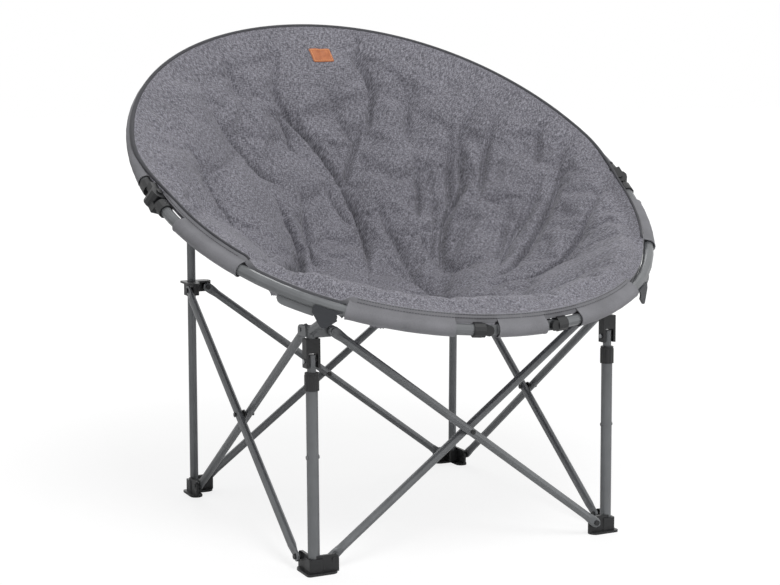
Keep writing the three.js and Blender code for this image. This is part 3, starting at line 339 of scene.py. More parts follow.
padCloth = heatherCloth(clothLook)
sleeveCloth = plainCloth("plainPolyesterSleeve", "78787C")
pipingCloth = plainCloth("charcoalPiping", "404044", bump=0.4)
threadGrey = plainCloth("greySewingThread", threadTones["cover"], bump=0.1)
threadTan = plainCloth("tanSewingThread", threadTones["patch"], bump=0.1)
coatGrey = powderCoat("greyPowderCoat", "6B6D6F", roughness=0.31, metallic=0.3)
coatDark = powderCoat("darkGreyPowderCoat", "303236", roughness=0.5, metallic=0.1)
nylonBlack = mouldedNylon()
zinc = zincSteel()
patchLeather = splitLeather()

slotFinish = {"metal": coatGrey, "pins": zinc, "fittings": nylonBlack, "pad": padCloth, "sleeves": sleeveCloth}
slotOf = {s["node"]: s["material_slot"] for s in frame["record"]["subparts"]}
for name, node in frame["nodes"].items():
    finish = coatDark if name.startswith("ring_bracket") else slotFinish[slotOf[name]]
    for place in node.material_slots:
        place.material = finish
report("finishes are on the frame")

# the ring's own line, in mm and degrees from its front, positive towards the sitter's left
ring = {
    "radius": 473.4, "long": 1.0357, "three": 0.0119, "four": -0.0056, "warp": 18.1,
    "centre": (0, 13.742, 641.8), "tilt": 29.4, "knuckle": 86,
}
tilt = math.radians(ring["tilt"])
alongRing = np.array([0, math.cos(tilt), math.sin(tilt)])
ringUp = np.array([0, -math.sin(tilt), math.cos(tilt)])


def ringLine(degrees, share=1.0, inset=0.0):
    a = np.radians(degrees)
    shape = 1 + ring["three"] * np.cos(3 * a) + ring["four"] * np.cos(4 * a)
    r = (ring["radius"] * shape - inset) * share
    out = np.zeros(np.shape(a) + (3,)) + np.array(ring["centre"], float)
    out[..., 0] += r * np.sin(a)
    out += (-r * np.cos(a) * ring["long"])[..., None] * alongRing
    out += (ring["warp"] * np.cos(2 * a) * np.square(share))[..., None] * ringUp
    return out


def ringFrame(degrees):
    # point on the ring with its outward and upward directions
    p = ringLine(degrees)
    t = ringLine(degrees + 0.5) - ringLine(degrees - 0.5)
    t /= np.linalg.norm(t, axis=-1, keepdims=True)
    up = ringUp - (t @ ringUp)[..., None] * t
    up /= np.linalg.norm(up, axis=-1, keepdims=True)
    return p, np.cross(t, up), up


# the cover's seam beside the ring: outward and upward of its line in mm at four stretches, and where in
# degrees one gives way to the next; behind the knuckles the cover laps over the ring
seam = {
    "front": (-14.6, 20.6), "bracket": (-12.6, 8.6), "side": (-18.0, 17.2), "back": (3.6, 12.9),
    "bracketFrom": (33.8, 36.8), "bracketTo": (54.5, 58.5), "hem": (80, 104),
}


def hemShare(degrees):
    return smooth(np.abs(degrees), *seam["hem"])


def seamAt(angle):
    a = np.abs(np.asarray(angle, float))[..., None]
    bare = smooth(a, *seam["bracketFrom"])
    side = smooth(a, *seam["bracketTo"])
    over = hemShare(a)
    at = np.array(seam["front"]) * (1 - bare) + np.array(seam["bracket"]) * bare
    at = at * (1 - side) + np.array(seam["side"]) * side
    return at * (1 - over) + np.array(seam["back"]) * over


# mm and degrees; places on the seat are shares of the way from its middle to its rim
seat = {
    "depth": 262, "round": 0.22, "power": 1.35, "powerTurn": 0.15, "inset": 15,
    "thickMiddle": 24, "thickRim": 9, "thickLeast": 6, "flatFrom": 0.9, "underRim": 0.5, "underRough": 0.3,
    "rows": 104, "rowPower": 0.9, "rowFirst": 0.002, "columnStep": 0.5,
    "foldWidth": 0.64, "foldSharp": 1.1, "foldDeep": 1.35, "foldSteps": 8,
    "foldStart": (-0.02, 0.3), "foldEnd": (0.75, 1.04), "foldTail": 0.25, "foldTailReach": 40,
    "underWidth": 3.2, "underSpare": 8, "underFade": (0.5, 0.8),
    "puff": 19, "puffReach": 26, "puffDown": 13, "puffPlace": 1.6, "puffRound": 0.6,
    "lipFront": 20, "lipBack": 3, "lipRight": (-60, -50), "lipLeft": (40, 88),
    "lipFrom": 0.78, "lipPlace": 1.7, "lipRound": 0.8,
    "rimHeight": 9, "rimFrom": 0.6, "frontLift": 11, "frontTurn": (44, 60),
    "wrinkle": 2.2, "wrinkleSize": 30, "wrinkleSeed": 3.1,
    "cloudWrinkle": 6.0, "cloudSize": 95, "cloudSeed": 7.7,
    "rollFrom": 0.955, "hemFrom": 0.925, "hemTurn": 78, "hemStep": 0.01,
    "hemOut": 0.0, "hemUp": 13.7, "hemPull": 26, "hemRadius": 13.5,
    "saddleRoom": 4.2, "saddleTurn": 137, "saddleWide": 6, "saddleSide": (2, 9),
    "edgeTurns": (92, 118, 145, 172), "edgeRadius": 12.6,
}
# folds seen in the photo: ring angle and share of the way to the rim, then depth and width in mm
creases = [
    ([(169, 0.97), (163, 0.85), (162, 0.75), (163, 0.66)], 14, 10),
    ([(164, 0.74), (172, 0.52), (173, 0.45)], 12, 8),
    ([(-168, 0.92), (-165, 0.8), (-174, 0.65), (173, 0.45), (160, 0.26), (149, 0.06)], 19, 11),
    ([(-165, 0.8), (-165, 0.68), (-164, 0.58)], 10, 8),
    ([(157, 0.42), (132, 0.28), (65, 0.22)], 14, 8),
    ([(131, 0.87), (130, 0.75), (120, 0.61), (116, 0.47), (90, 0.34), (67, 0.36)], 18, 10),
    ([(135, 0.76), (126, 0.6), (116, 0.47), (124, 0.33)], 12, 8),
    ([(108, 0.96), (98, 0.88), (86, 0.74), (67, 0.58), (52, 0.5)], 15, 10),
    ([(114, 0.95), (105, 0.84)], 8, 8),
    ([(82, 0.92), (66, 0.78), (55, 0.66), (48, 0.5)], 16, 11),
    ([(-139, 0.8), (-142, 0.66), (-146, 0.52)], 16, 12),
    ([(-117, 0.85), (-115, 0.73), (-100, 0.6), (-80, 0.5)], 14, 12),
    ([(-135, 0.46), (-132, 0.41), (-124, 0.31), (-104, 0.29), (-86, 0.39), (-75, 0.52), (-66, 0.66)], 34, 9),
    ([(132, 0.54), (120, 0.44), (95, 0.29)], 9, 7),
    ([(143, 0.62), (136, 0.52), (128, 0.4)], 9, 6),
    ([(178, 0.8), (173, 0.72), (166, 0.62)], 7, 6),
    ([(-174, 0.5), (-178, 0.4), (170, 0.3)], 8, 6),
    ([(100, 0.8), (90, 0.68), (80, 0.55)], 8, 6),
    ([(124, 0.86), (120, 0.74), (110, 0.6)], 9, 7),
    ([(97, 0.63), (84, 0.56), (71, 0.5)], 8, 8),
    ([(-155, 0.42), (-140, 0.3), (-100, 0.2)], 12, 9),
    ([(30, 0.9), (28, 0.6), (30, 0.35)], 10, 10),
    ([(-20, 0.9), (-24, 0.62), (-30, 0.4)], 10, 10),
    ([(-44, 1.3), (-47.5, 1.02), (-50, 0.9), (-56, 0.76), (-64, 0.62)], 19, 9),
    ([(142, 0.2), (60, 0.24), (25, 0.44)], 11, 5),
    ([(128, 0.36), (97, 0.33), (66, 0.42)], 10, 5),
    ([(62, 0.5), (84, 0.6), (96, 0.72)], 9, 5),
    ([(-92, 0.9), (-88, 0.7)], 6, 10),
    ([(150, 0.92), (150, 0.8), (146, 0.66)], 6, 9),
    ([(-152, 0.95), (-153, 0.82)], 5, 8),
]
# the seat's quarters: their ends on the ring, the frame's node and the body they ride
quarters = {
    "right_front": (-ring["knuckle"], 0, "pad_front_right", "arc_fr"),
    "left_front": (0, ring["knuckle"], "pad_front_left", "arc_fl"),
    "right_back": (-180, -ring["knuckle"], "pad_back_right", "arc_br"),
    "left_back": (ring["knuckle"], 180, "pad_back_left", "arc_bl"),
}


def onDisc(degrees, share):
    # place on the seat laid flat, in mm
    a = np.radians(degrees)
    return np.stack([share * np.sin(a), -share * np.cos(a)], -1) * (ring["radius"] - seat["inset"])


def roundedPath(corners):
    # a rounded run through the corners
    path = []
    n = len(corners)
    for i in range(n - 1):
        a, b = corners[i], corners[i + 1]
        before = corners[i - 1] if i else 2 * a - b
        after = corners[i + 2] if i + 2 < n else 2 * b - a
        for t in np.linspace(0, 1, seat["foldSteps"], endpoint=False):
            path.append(0.5 * ((2 * a) + (b - before) * t + (2 * before - 5 * a + 4 * b - after) * t * t
                               + (3 * a - before - 3 * b + after) * t ** 3))
    path.append(corners[-1])
    return np.array(path)


def nearestOn(path, points):
    # distance of each point from the path, and the share of the way along it where it is nearest
    lengths = np.r_[0, np.cumsum(np.linalg.norm(np.diff(path, axis=0), axis=1))]
    best = np.full(len(points), 1e9)
    where = np.zeros(len(points))
    for i in range(len(path) - 1):
        a, step = path[i], path[i + 1] - path[i]
        t = np.clip(((points - a) @ step) / (step @ step), 0, 1)
        d = np.linalg.norm(points - a - t[:, None] * step, axis=1)
        closer = d < best
        best = np.where(closer, d, best)
        where = np.where(closer, (lengths[i] + t * (lengths[i + 1] - lengths[i])) / lengths[-1], where)
    return best, where


def foldDepth(points):
    # depth of the folds above and, spread wider, below; and how far the nearest fold is
    total = np.zeros(len(points))
    below = np.zeros(len(points))
    nearest = np.full(len(points), 1e9)
    tail = seat["foldTail"]
    for line, depth, width in creases:
        away, where = nearestOn(roundedPath([onDisc(float(a), s) for a, s in line]), points)
        ends = smooth(where, *seat["foldStart"]) * (1 - smooth(where, *seat["foldEnd"]))
        reach = depth * seat["foldDeep"] * (tail + (1 - tail) * ends)
        above = reach * np.exp(-(away / (width * seat["foldWidth"])) ** seat["foldSharp"])
        total = np.maximum(total, above)
        below = np.maximum(below, reach * np.exp(-(away / (width * seat["underWidth"])) ** 2))
        nearest = np.minimum(nearest, away + seat["foldTailReach"] * (1 - ends))
    return total, below, nearest


def roughness(flat):
    # unevenness of the filling, in mm
    small, large = seat["wrinkleSize"], seat["cloudSize"]
    return np.array([
        noise.noise(Vector((x / small, y / small, seat["wrinkleSeed"]))) * seat["wrinkle"]
        + noise.noise(Vector((x / large, y / large, seat["cloudSeed"]))) * seat["cloudWrinkle"]
        for x, y in flat])


def bowlCurve(share, power):
    return (share ** 2 + seat["round"] ** 2) ** (power / 2)


def freeSeat(angle, share):
    # upper and under surface of the seat before its hem, and how far the nearest fold is
    shape = angle.shape
    level = ringLine(angle, share, seat["inset"])
    power = seat["power"] - seat["powerTurn"] * np.cos(np.radians(angle))
    middle = bowlCurve(0, power)
    drop = seat["depth"] * (1 - (bowlCurve(share, power) - middle) / (bowlCurve(1, power) - middle))
    flat = onDisc(angle.ravel(), share.ravel())
    fold, below, near = (part.reshape(shape) for part in foldDepth(flat))
    rough = roughness(flat).reshape(shape)
    inner = 1 - smooth(share, seat["flatFrom"], 1.0)
    puff = seat["puff"] * (1 - np.exp(-near / seat["puffReach"]))
    puff = puff * np.sin(np.pi * share ** seat["puffPlace"]) ** seat["puffRound"]
    front = smooth(angle, *seat["lipRight"]) * (1 - smooth(angle, *seat["lipLeft"]))
    lip = seat["lipBack"] + (seat["lipFront"] - seat["lipBack"]) * front
    crown = np.sin(np.pi * smooth(share, seat["lipFrom"], 1.0) ** seat["lipPlace"])
    crown = lip * crown ** seat["lipRound"]
    thick = seat["thickMiddle"] + (seat["thickRim"] - seat["thickMiddle"]) * share ** 3
    lift = seat["rimHeight"] + seat["frontLift"] * (1 - smooth(np.abs(angle), *seat["frontTurn"]))
    rim = lift * smooth(share, seat["rimFrom"], 1.0)
    top = -drop + thick / 2 - seat["puffDown"] * inner + rim + (puff + rough) * inner + crown - fold * inner
    under = -drop - thick / 2 - inner + rim * seat["underRim"] + rough * seat["underRough"] * inner
    under -= np.maximum(0, below - seat["underSpare"]) * (1 - smooth(share, *seat["underFade"]))
    under = np.minimum(under, top - seat["thickLeast"])
    return level + top[..., None] * ringUp, level + under[..., None] * ringUp, near


def inSection(q, p, out, up):
    # outward and upward of the ring's line
    return np.stack([((q - p) * out).sum(-1), ((q - p) * up).sum(-1)], -1)


def seatPoints(angle, share):
    # the seat with its hem: behind the knuckles the cover runs on, touches the sleeve and ends on top of it
    over, under, near = freeSeat(angle, share)
    p, out, up = ringFrame(angle)
    rim = inSection(freeSeat(angle, np.ones(angle.shape))[0], p, out, up)
    roll = smooth(share, seat["rollFrom"], 1.0) * (1 - hemShare(angle))
    fall = (seamAt(angle) - rim) * roll[..., None]
    over = over + fall[..., :1] * out + fall[..., 1:] * up
    start, step = seat["hemFrom"], seat["hemStep"]
    last = (share > start) & (np.abs(angle) > seat["hemTurn"])
    if not last.any():
        return over, under, near
    a, s = angle[last], share[last]
    p, out, up = ringFrame(a)
    begin = inSection(freeSeat(a, np.full(a.shape, start))[0], p, out, up)
    before = inSection(freeSeat(a, np.full(a.shape, start - step))[0], p, out, up)
    slope = (begin - before) * (1 - start) / step
    end = np.array([seat["hemOut"], seat["hemUp"]])
    arrive = np.array([seat["hemPull"], 0.0])
    t = ((s - start) / (1 - start))[:, None]
    run = ((2 * t ** 3 - 3 * t ** 2 + 1) * begin + (t ** 3 - 2 * t ** 2 + t) * slope
           + (3 * t ** 2 - 2 * t ** 3) * end + (t ** 3 - t ** 2) * arrive)
    far = np.linalg.norm(run, axis=1, keepdims=True)
    bySaddle = np.exp(-((np.abs(a) - seat["saddleTurn"]) / seat["saddleWide"]) ** 4)[:, None]
    saddle = seat["saddleRoom"] * bySaddle * smooth(-run[:, :1], *seat["saddleSide"])
    run *= np.maximum(far, seat["hemRadius"] + saddle) / far
    lapped = p + run[:, :1] * out + run[:, 1:] * up
    over[last] += hemShare(a)[:, None] * (lapped - over[last])
    return over, under, near


def seatEdge(angle):
    # rows that close the seat at its rim; behind, they follow the sleeve's inner side
    p, out, up = ringFrame(angle)
    top, under, _ = seatPoints(angle, np.ones(angle.shape))
    lap = hemShare(angle)[:, None]
    rows = []
    for k, turn in enumerate(seat["edgeTurns"]):
        straight = top + (under - top) * (k + 1) / (len(seat["edgeTurns"]) + 1)
        t = math.radians(turn)
        lapped = p + seat["edgeRadius"] * (math.cos(t) * out + math.sin(t) * up)
        rows.append(straight + lap * (lapped - straight))
    return rows


def vertexNormals(grid):
    # normals of a surface given as rows of points, closed round the ring
    across = np.roll(grid, -1, 1) - np.roll(grid, 1, 1)
    down = np.gradient(grid, axis=0)
    n = np.cross(down, across)
    n /= np.maximum(np.linalg.norm(n, axis=-1, keepdims=True), 1e-9)
    flip = np.sign((n @ ringUp))[..., None]
    return n * np.where(flip == 0, 1, flip)


# the cover's simulation: spacing, pinFold and cap in mm
cloth = {
    "spacing": 9.0, "pressure": 3.0, "grow": -0.07, "frames": 20, "quality": 6, "mass": 0.2, "tension": 12,
    "shear": 4, "bending": 0.02, "pinFold": 8, "pinRim": 0.95, "within": 0.995, "cap": 15,
}


def simulateCover(sheet, held):
    # the sheet's points in mm after its filling has blown it up between the places where it is held
    pins = sheet.vertex_groups.new(name="pins")
    pins.add([int(i) for i in np.nonzero(held)[0]], 1.0, "REPLACE")
    modifier = sheet.modifiers.new("filling", "CLOTH")
    c = modifier.settings
    c.vertex_group_mass = "pins"
    c.quality = cloth["quality"]
    c.mass = cloth["mass"]
    c.tension_stiffness = cloth["tension"]
    c.compression_stiffness = cloth["tension"]
    c.shear_stiffness = cloth["shear"]
    c.bending_stiffness = cloth["bending"]
    c.use_pressure = True
    c.uniform_pressure_force = cloth["pressure"]
    c.shrink_min = cloth["grow"]
    c.effector_weights.gravity = 0
    modifier.collision_settings.use_collision = False
    modifier.point_cache.frame_start = 1
    modifier.point_cache.frame_end = cloth["frames"]
    scene = bpy.context.scene
    for f in range(1, cloth["frames"] + 1):
        scene.frame_set(f)
    after = sheet.evaluated_get(bpy.context.evaluated_depsgraph_get()).data
    points = np.zeros(len(after.vertices) * 3)
    after.vertices.foreach_get("co", points)
    scene.frame_set(1)
    return points.reshape(-1, 3) / mm


def clothPuff():
    # the cover sewn down along its folds and blown up by its filling: returns a field of movements in mm
    reach = ring["radius"] - seat["inset"]
    half = int(reach / cloth["spacing"]) + 2
    line = np.arange(-half, half + 1) * cloth["spacing"]
    field = np.zeros((len(line), len(line), 3))
    x, y = np.meshgrid(line, line, indexing="ij")
    share = np.hypot(x, y) / reach
    angle = np.degrees(np.arctan2(x, -y))
    inside = share < cloth["within"]
    top, _, near = seatPoints(angle[inside], np.maximum(share[inside], seat["rowFirst"]))
    index = -np.ones(share.shape, int)
    index[inside] = np.arange(inside.sum())
    faces = []
    for i in range(len(line) - 1):
        for j in range(len(line) - 1):
            four = (index[i, j], index[i + 1, j], index[i + 1, j + 1], index[i, j + 1])
            if min(four) >= 0:
                faces.append(tuple(int(f) for f in four))
    sheet = meshObject("seatCoverSim", top * mm, faces, padCloth)
    held = (near < cloth["pinFold"]) | (share[inside] > cloth["pinRim"])
    move = simulateCover(sheet, held) - top
    size = np.linalg.norm(move, axis=1, keepdims=True)
    report(f"cover moved by {size.mean():.1f} mm on average, {size.max():.1f} at most")
    field[inside] = move * (cloth["cap"] * np.tanh(size / cloth["cap"]) / np.maximum(size, 1e-6))
    mesh = sheet.data
    bpy.data.objects.remove(sheet)
    bpy.data.meshes.remove(mesh)
    return line, field


def readField(line, field, points):
    # bilinear reading of the field at places on the laid-flat seat
    at = (points - line[0]) / (line[1] - line[0])
    low = np.clip(np.floor(at).astype(int), 0, len(line) - 2)
    part = at - low
    i, j = low[:, 0], low[:, 1]
    u, v = part[:, :1], part[:, 1:]
    return (field[i, j] * (1 - u) * (1 - v) + field[i + 1, j] * u * (1 - v)
            + field[i, j + 1] * (1 - u) * v + field[i + 1, j + 1] * u * v)


def puffedTop(angle, share):
    top = seatPoints(angle, share)[0]
    return top + readField(*puffed, onDisc(angle.ravel(), share.ravel())).reshape(top.shape)


def foldWithQuarter(piece, name):
    # the piece gets a mesh of its own; the ends and middle of its arc are worked out but not used
    low, high = quarters[name][:2]
    first, middle, last = ringLine(np.array([low, (low + high) / 2, high], float))
    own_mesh(piece)


def quarterFaces(rows, wide, edges):
    # faces of a quarter: the surfaces and the rim first, then the flat sides; and how many are smooth
    def at(side, r, c):
        return side * rows * wide + r * wide + c

    across = [(0, rows - 1)] + [(2, k) for k in range(edges)] + [(1, rows - 1)]
    faces = []
    for r in range(rows - 1):
        for c in range(wide - 1):
            faces.append((at(0, r, c), at(0, r + 1, c), at(0, r + 1, c + 1), at(0, r, c + 1)))
            faces.append((at(1, r, c), at(1, r, c + 1), at(1, r + 1, c + 1), at(1, r + 1, c)))
    for c in range(wide - 1):
        for upper, lower in zip(across, across[1:]):
            faces.append((at(*upper, c), at(*lower, c), at(*lower, c + 1), at(*upper, c + 1)))
        faces.append((at(0, 0, c), at(0, 0, c + 1), at(1, 0, c + 1), at(1, 0, c)))
    smoothCount = len(faces)
    c = wide - 1
    for r in range(rows - 1):
        faces.append((at(0, r, 0), at(1, r, 0), at(1, r + 1, 0), at(0, r + 1, 0)))
        faces.append((at(0, r, c), at(0, r + 1, c), at(1, r + 1, c), at(1, r, c)))
    faces.append(tuple(at(*place, 0) for place in reversed(across)))
    faces.append(tuple(at(*place, c) for place in across))
    return faces, smoothCount


def makeSeat():
    per = round(1 / seat["columnStep"])
    degrees = np.arange(-180 * per, 180 * per) / per
    shares = (np.arange(seat["rows"] + 1) / seat["rows"]) ** seat["rowPower"]
    shares[0] = seat["rowFirst"]
    angle, share = np.meshgrid(degrees, shares)
    top, under, _ = seatPoints(angle, share)
    top += readField(*puffed, onDisc(angle.ravel(), share.ravel())).reshape(top.shape)
    topNormals, underNormals = vertexNormals(top), -vertexNormals(under)
    edge = np.array(seatEdge(degrees))
    for name, (low, high, node, body) in quarters.items():
        columns = [c % (360 * per) for c in range((low + 180) * per, (high + 180) * per + 1)]
        wide = len(columns)
        points = np.concatenate([grid[:, columns].reshape(-1, 3) for grid in (top, under, edge)]) * mm
        normals = np.concatenate([grid[:, columns].reshape(-1, 3) for grid in (topNormals, underNormals)])
        faces, smoothCount = quarterFaces(len(shares), wide, len(edge))
        piece = meshObject("seatPad_" + name, points, faces, padCloth)
        mesh = piece.data
        laid = onDisc(angle[:, columns].ravel(), share[:, columns].ravel())
        laid = np.concatenate([laid, laid, np.tile(laid[-wide:], (len(edge), 1))])
        corner = np.zeros(len(mesh.loops), int)
        mesh.loops.foreach_get("vertex_index", corner)
        mesh.uv_layers.new(name="laidFlat").data.foreach_set("uv", laid[corner].ravel())
        given = [tuple(n) for n in normals]
        loops = []
        for polygon in mesh.polygons:
            for v in polygon.vertices:
                known = polygon.index < smoothCount and v < len(given)
                loops.append(given[v] if known else (0.0, 0.0, 0.0))
        mesh.normals_split_custom_set(loops)
        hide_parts(node)
        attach(piece, body)
        foldWithQuarter(piece, name)


puffed = clothPuff()
makeSeat()
report("the padded seat is shaped")

# mm and degrees; tips and lows are outward and upward of the ring's line
sleeve = {
    "radius": 12.3, "cloth": 0.9, "hemGrow": 0.8 / 12, "hemFrom": 0.27, "hemTo": 0.45, "step": 0.5,
    "sharp": 50, "facet": 20, "tipFacet": 4, "wrinkle": 0.5, "wrinkleSize": 17,
    "tipFront": (-9.6, 14.4), "tipSide": (-12.0, 11.4), "tipTurn": (44, 56),
    "clipLow": (-8.4, 8.8), "clipFrom": (5, 6), "clipTo": (13.6, 14.4), "bracketLow": (-10.9, -2.0),
    "flapThick": 1.2, "flapLap": 1.5, "flapBelly": 1.6, "cord": 2.2, "cordBack": 4.0, "cordFacet": 36,
    "front": (14, 34.7), "side": (57.6, 75.8), "back": (92, 180), "centre": (-5.3, 5.3),
    "flap": (0, 86), "cordFront": (57.2, 86), "cordRest": (86, 180), "flapMeasure": 4,
}


def sleeveTip(angle):
    # where the sleeve's two layers meet above the tube and are sewn to each other
    side = smooth(abs(angle), *sleeve["tipTurn"])
    return np.array(sleeve["tipFront"]) * (1 - side) + np.array(sleeve["tipSide"]) * side


def sleeveProfile(angle, thin=0.0):
    # round the ring, drawn up to the stitched tip in front; behind the knuckles a plain round
    tip = sleeveTip(angle)
    radius = sleeve["radius"]
    reach = radius + (np.linalg.norm(tip) - radius) * (1 - float(hemShare(angle)))
    half = math.acos(min(1.0, radius / reach))
    at = math.atan2(tip[1], tip[0])
    out = []
    turns = np.r_[np.arange(0, 360, sleeve["facet"]), sleeve["tipFacet"], -sleeve["tipFacet"]]
    for turn in np.radians(turns) + at:
        off = abs((turn - at + math.pi) % (2 * math.pi) - math.pi)
        r = radius / math.cos(half - off) if off < half else radius
        out.append((off if (turn - at) % (2 * math.pi) < math.pi else 2 * math.pi - off, r - thin, turn))
    out.sort()
    return [(r * math.cos(turn), r * math.sin(turn)) for _, r, turn in out]


def flapProfile(angle):
    # a strip from the sleeve's tip up to the seam; where the tube is bare it ends beside the tube
    a = abs(angle)
    top = seamAt(angle)
    clip = float(smooth(a, *sleeve["clipFrom"]) * (1 - smooth(a, *sleeve["clipTo"])))
    bracket = float(smooth(a, *seam["bracketFrom"]) * (1 - smooth(a, *seam["bracketTo"])))
    low = sleeveTip(angle) * (1 - clip - bracket) + np.array(sleeve["clipLow"]) * clip
    low = low + np.array(sleeve["bracketLow"]) * bracket
    along = (top - low) / np.linalg.norm(top - low)
    face = np.array([along[1], -along[0]]) * sleeve["flapThick"] / 2
    low = low - along * sleeve["flapLap"]
    belly = (low + top) / 2 + face * sleeve["flapBelly"]
    return np.array([low + face, belly, top + face, top - face, low - face])


def cordProfile(angle):
    middle = seamAt(angle)
    thick = sleeve["cord"] + (sleeve["cordBack"] - sleeve["cord"]) * float(hemShare(angle))
    return [(middle[0] + thick * math.cos(a), middle[1] + thick * math.sin(a))
            for a in np.radians(np.arange(0, 360, sleeve["cordFacet"]))]


def sweep(name, low, high, profile, body, material, slotName, node=None, wrinkle=0.0, hem=0.0, bore=None):
    # a closed profile of (outward, upward) points in mm carried along the ring, solid or with a bore
    count = max(2, int(round((high - low) / sleeve["step"])) + 1)
    angles = np.linspace(low, high, count)
    p, out, up = ringFrame(angles)
    rows = []
    for i, angle in enumerate(angles):
        edge = min(angle - low, high - angle)
        grow = 1 + hem * (1 - smooth(edge, sleeve["hemFrom"], sleeve["hemTo"]))
        section = np.array(profile(angle), float) * grow
        if bore:
            section = np.concatenate([section, np.array(bore(angle), float)])
        row = p[i] + section[:, :1] * out[i] + section[:, 1:] * up[i]
        if wrinkle:
            for k in range(len(row)):
                row[k] += out[i] * noise.noise(Vector(row[k] / sleeve["wrinkleSize"])) * wrinkle
        rows.append(row)
    points = np.concatenate(rows) * mm
    total = len(section)
    half = total // 2
    faces = []
    for first, last in [(0, half), (half, total)] if bore else [(0, total)]:
        for i in range(count - 1):
            for k in range(first, last):
                j = k + 1 if k + 1 < last else first
                faces.append((i * total + k, i * total + j, (i + 1) * total + j, (i + 1) * total + k))
    for end in (0, (count - 1) * total):
        if bore:
            for k in range(half):
                j = (k + 1) % half
                faces.append((end + k, end + j, end + half + j, end + half + k))
        else:
            faces.append(tuple(end + k for k in range(total)))
    piece = meshObject(name, points, faces, material)
    faceOutward(piece, sleeve["sharp"])
    if node:
        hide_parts(node)
    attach(piece, body)
    return piece


def ringLength(low, high):
    line = ringLine(np.linspace(low, high, 60))
    return float(np.linalg.norm(np.diff(line, axis=0), axis=1).sum()) * mm


def around(loop, closed):
    # length of a profile in metres: all the way round, or of one side of a thin strip
    loop = np.array(loop)
    whole = float(np.linalg.norm(loop - np.roll(loop, 1, axis=0), axis=1).sum()) * mm
    return whole if closed else whole / 2


def makeSleeve(part, side, low, high, body, node):
    # a strip of cloth folded round the tube and sewn to itself
    name = f"ringSleeve_{part}_{side}" if side else f"ringSleeve_{part}"
    piece = sweep(name, low, high, sleeveProfile, body, sleeveCloth, "sleeves", node, sleeve["wrinkle"],
                  sleeve["hemGrow"], lambda angle: sleeveProfile(angle, sleeve["cloth"]))
    wide = around(sleeveProfile((low + high) / 2), True)
    ringLength(low, high)


# mm; spans in degrees; taper and narrow are shares of the stitch's width
stitch = {
    "long": 3.6, "pitch": 4.6, "wide": 1.1, "high": 0.6, "taper": 0.6, "narrow": 0.7,
    "fromTip": 1.2, "fromSeam": 1.6, "lift": 0.62, "spans": ((0.4, 33), (60, 84)),
}


def makeStitches(name, centres, ways, faces, body, material):
    # one small closed bar for each stitch, half sunk into the cloth: all in one piece
    points, sides = [], []
    taper, narrow = stitch["taper"], stitch["narrow"]
    long, wide, high = stitch["long"] / 2, stitch["wide"] / 2, stitch["high"] / 2
    for centre, way, face in zip(centres, ways, faces):
        way, face = way / np.linalg.norm(way), face / np.linalg.norm(face)
        across = np.cross(face, way)
        start = len(points)
        for along, grow in ((-1, taper), (-taper, 1), (taper, 1), (1, taper)):
            for u, v in ((-1, -1), (1, -1), (narrow, 1), (-narrow, 1)):
                spot = centre + way * along * long + across * u * grow * wide + face * v * grow * high
                points.append(spot * mm)
        for row in range(3):
            for k in range(4):
                a, b = start + row * 4 + k, start + row * 4 + (k + 1) % 4
                sides.append((a, b, b + 4, a + 4))
        sides.append((start + 3, start + 2, start + 1, start))
        sides.append((start + 12, start + 13, start + 14, start + 15))
    piece = meshObject(name, points, sides, material)
    faceOutward(piece)
    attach(piece, body)
    return piece


def flapStitches(side, sign, body):
    # two rows of stitches along the flap, at its tip and under the seam
    centres, ways, faces = [], [], []
    for low, high in stitch["spans"]:
        for angle in np.linspace(low, high, int(ringLength(low, high) / mm / stitch["pitch"])):
            p, out, up = ringFrame(sign * angle)
            way = ringLine(sign * angle + 0.5) - ringLine(sign * angle - 0.5)
            tip, top = sleeveTip(angle), seamAt(angle)
            along = (top - tip) / np.linalg.norm(top - tip)
            face = np.array([along[1], -along[0]])
            for spot in (tip + along * stitch["fromTip"], top - along * stitch["fromSeam"]):
                spot = spot + face * sleeve["flapThick"] * stitch["lift"]
                centres.append(p + spot[0] * out + spot[1] * up)
                ways.append(way)
                faces.append(face[0] * out + face[1] * up)
    makeStitches(f"flapStitches_{side}", centres, ways, faces, body, threadGrey)


def onSide(sign, span):
    return sorted(sign * end for end in span)


bodies = {"right": ("arc_fr", "arc_br"), "left": ("arc_fl", "arc_bl")}
for side, sign in (("right", -1), ("left", 1)):
    front, back = bodies[side]
    for part, body in (("front", front), ("side", front), ("back", back)):
        makeSleeve(part, side, *onSide(sign, sleeve[part]), body, f"sleeve_{part}_{side}")
    for part, span, body in (("front", "cordFront", front), ("back", "cordRest", back)):
        sweep(f"piping_{part}_{side}", *onSide(sign, sleeve[span]), cordProfile, body, pipingCloth, "sleeves")
    ends = onSide(sign, sleeve["flap"])
    flap = sweep(f"seamFlap_{side}", *ends, flapProfile, front, sleeveCloth, "sleeves")
    ringLength(*ends)
    flapStitches(side, sign, front)
makeSleeve("centre", "", *sleeve["centre"], "link", "sleeve_centre")
report("sleeves, flap and piping are on the ring")

# bare leather patch at the top: its place in degrees and shares of the seat, its sizes in mm
patch = {
    "turnFrom": 175.5, "turnTo": 181.5, "shareFrom": 0.8875, "shareTo": 0.9305, "lean": -0.95,
    "wide": 42, "tall": 26, "thick": 1.5, "over": 0.5, "corner": 0.1, "columns": 30, "rows": 18,
    "edgeStart": 0.35, "edgeRise": 0.8, "sharp": 50, "stitchIn": 0.09, "stitchSide": 0.063, "stitchPitch": 3.4,
    "probe": 0.01, "facing": 0.05,
}


def patchPoint(u, v):
    # place on the seat's upper surface from shares across and up the patch
    angle = patch["turnTo"] + (patch["turnFrom"] - patch["turnTo"]) * u + patch["lean"] * (0.5 - v)
    return puffedTop(angle, patch["shareFrom"] + (patch["shareTo"] - patch["shareFrom"]) * v)


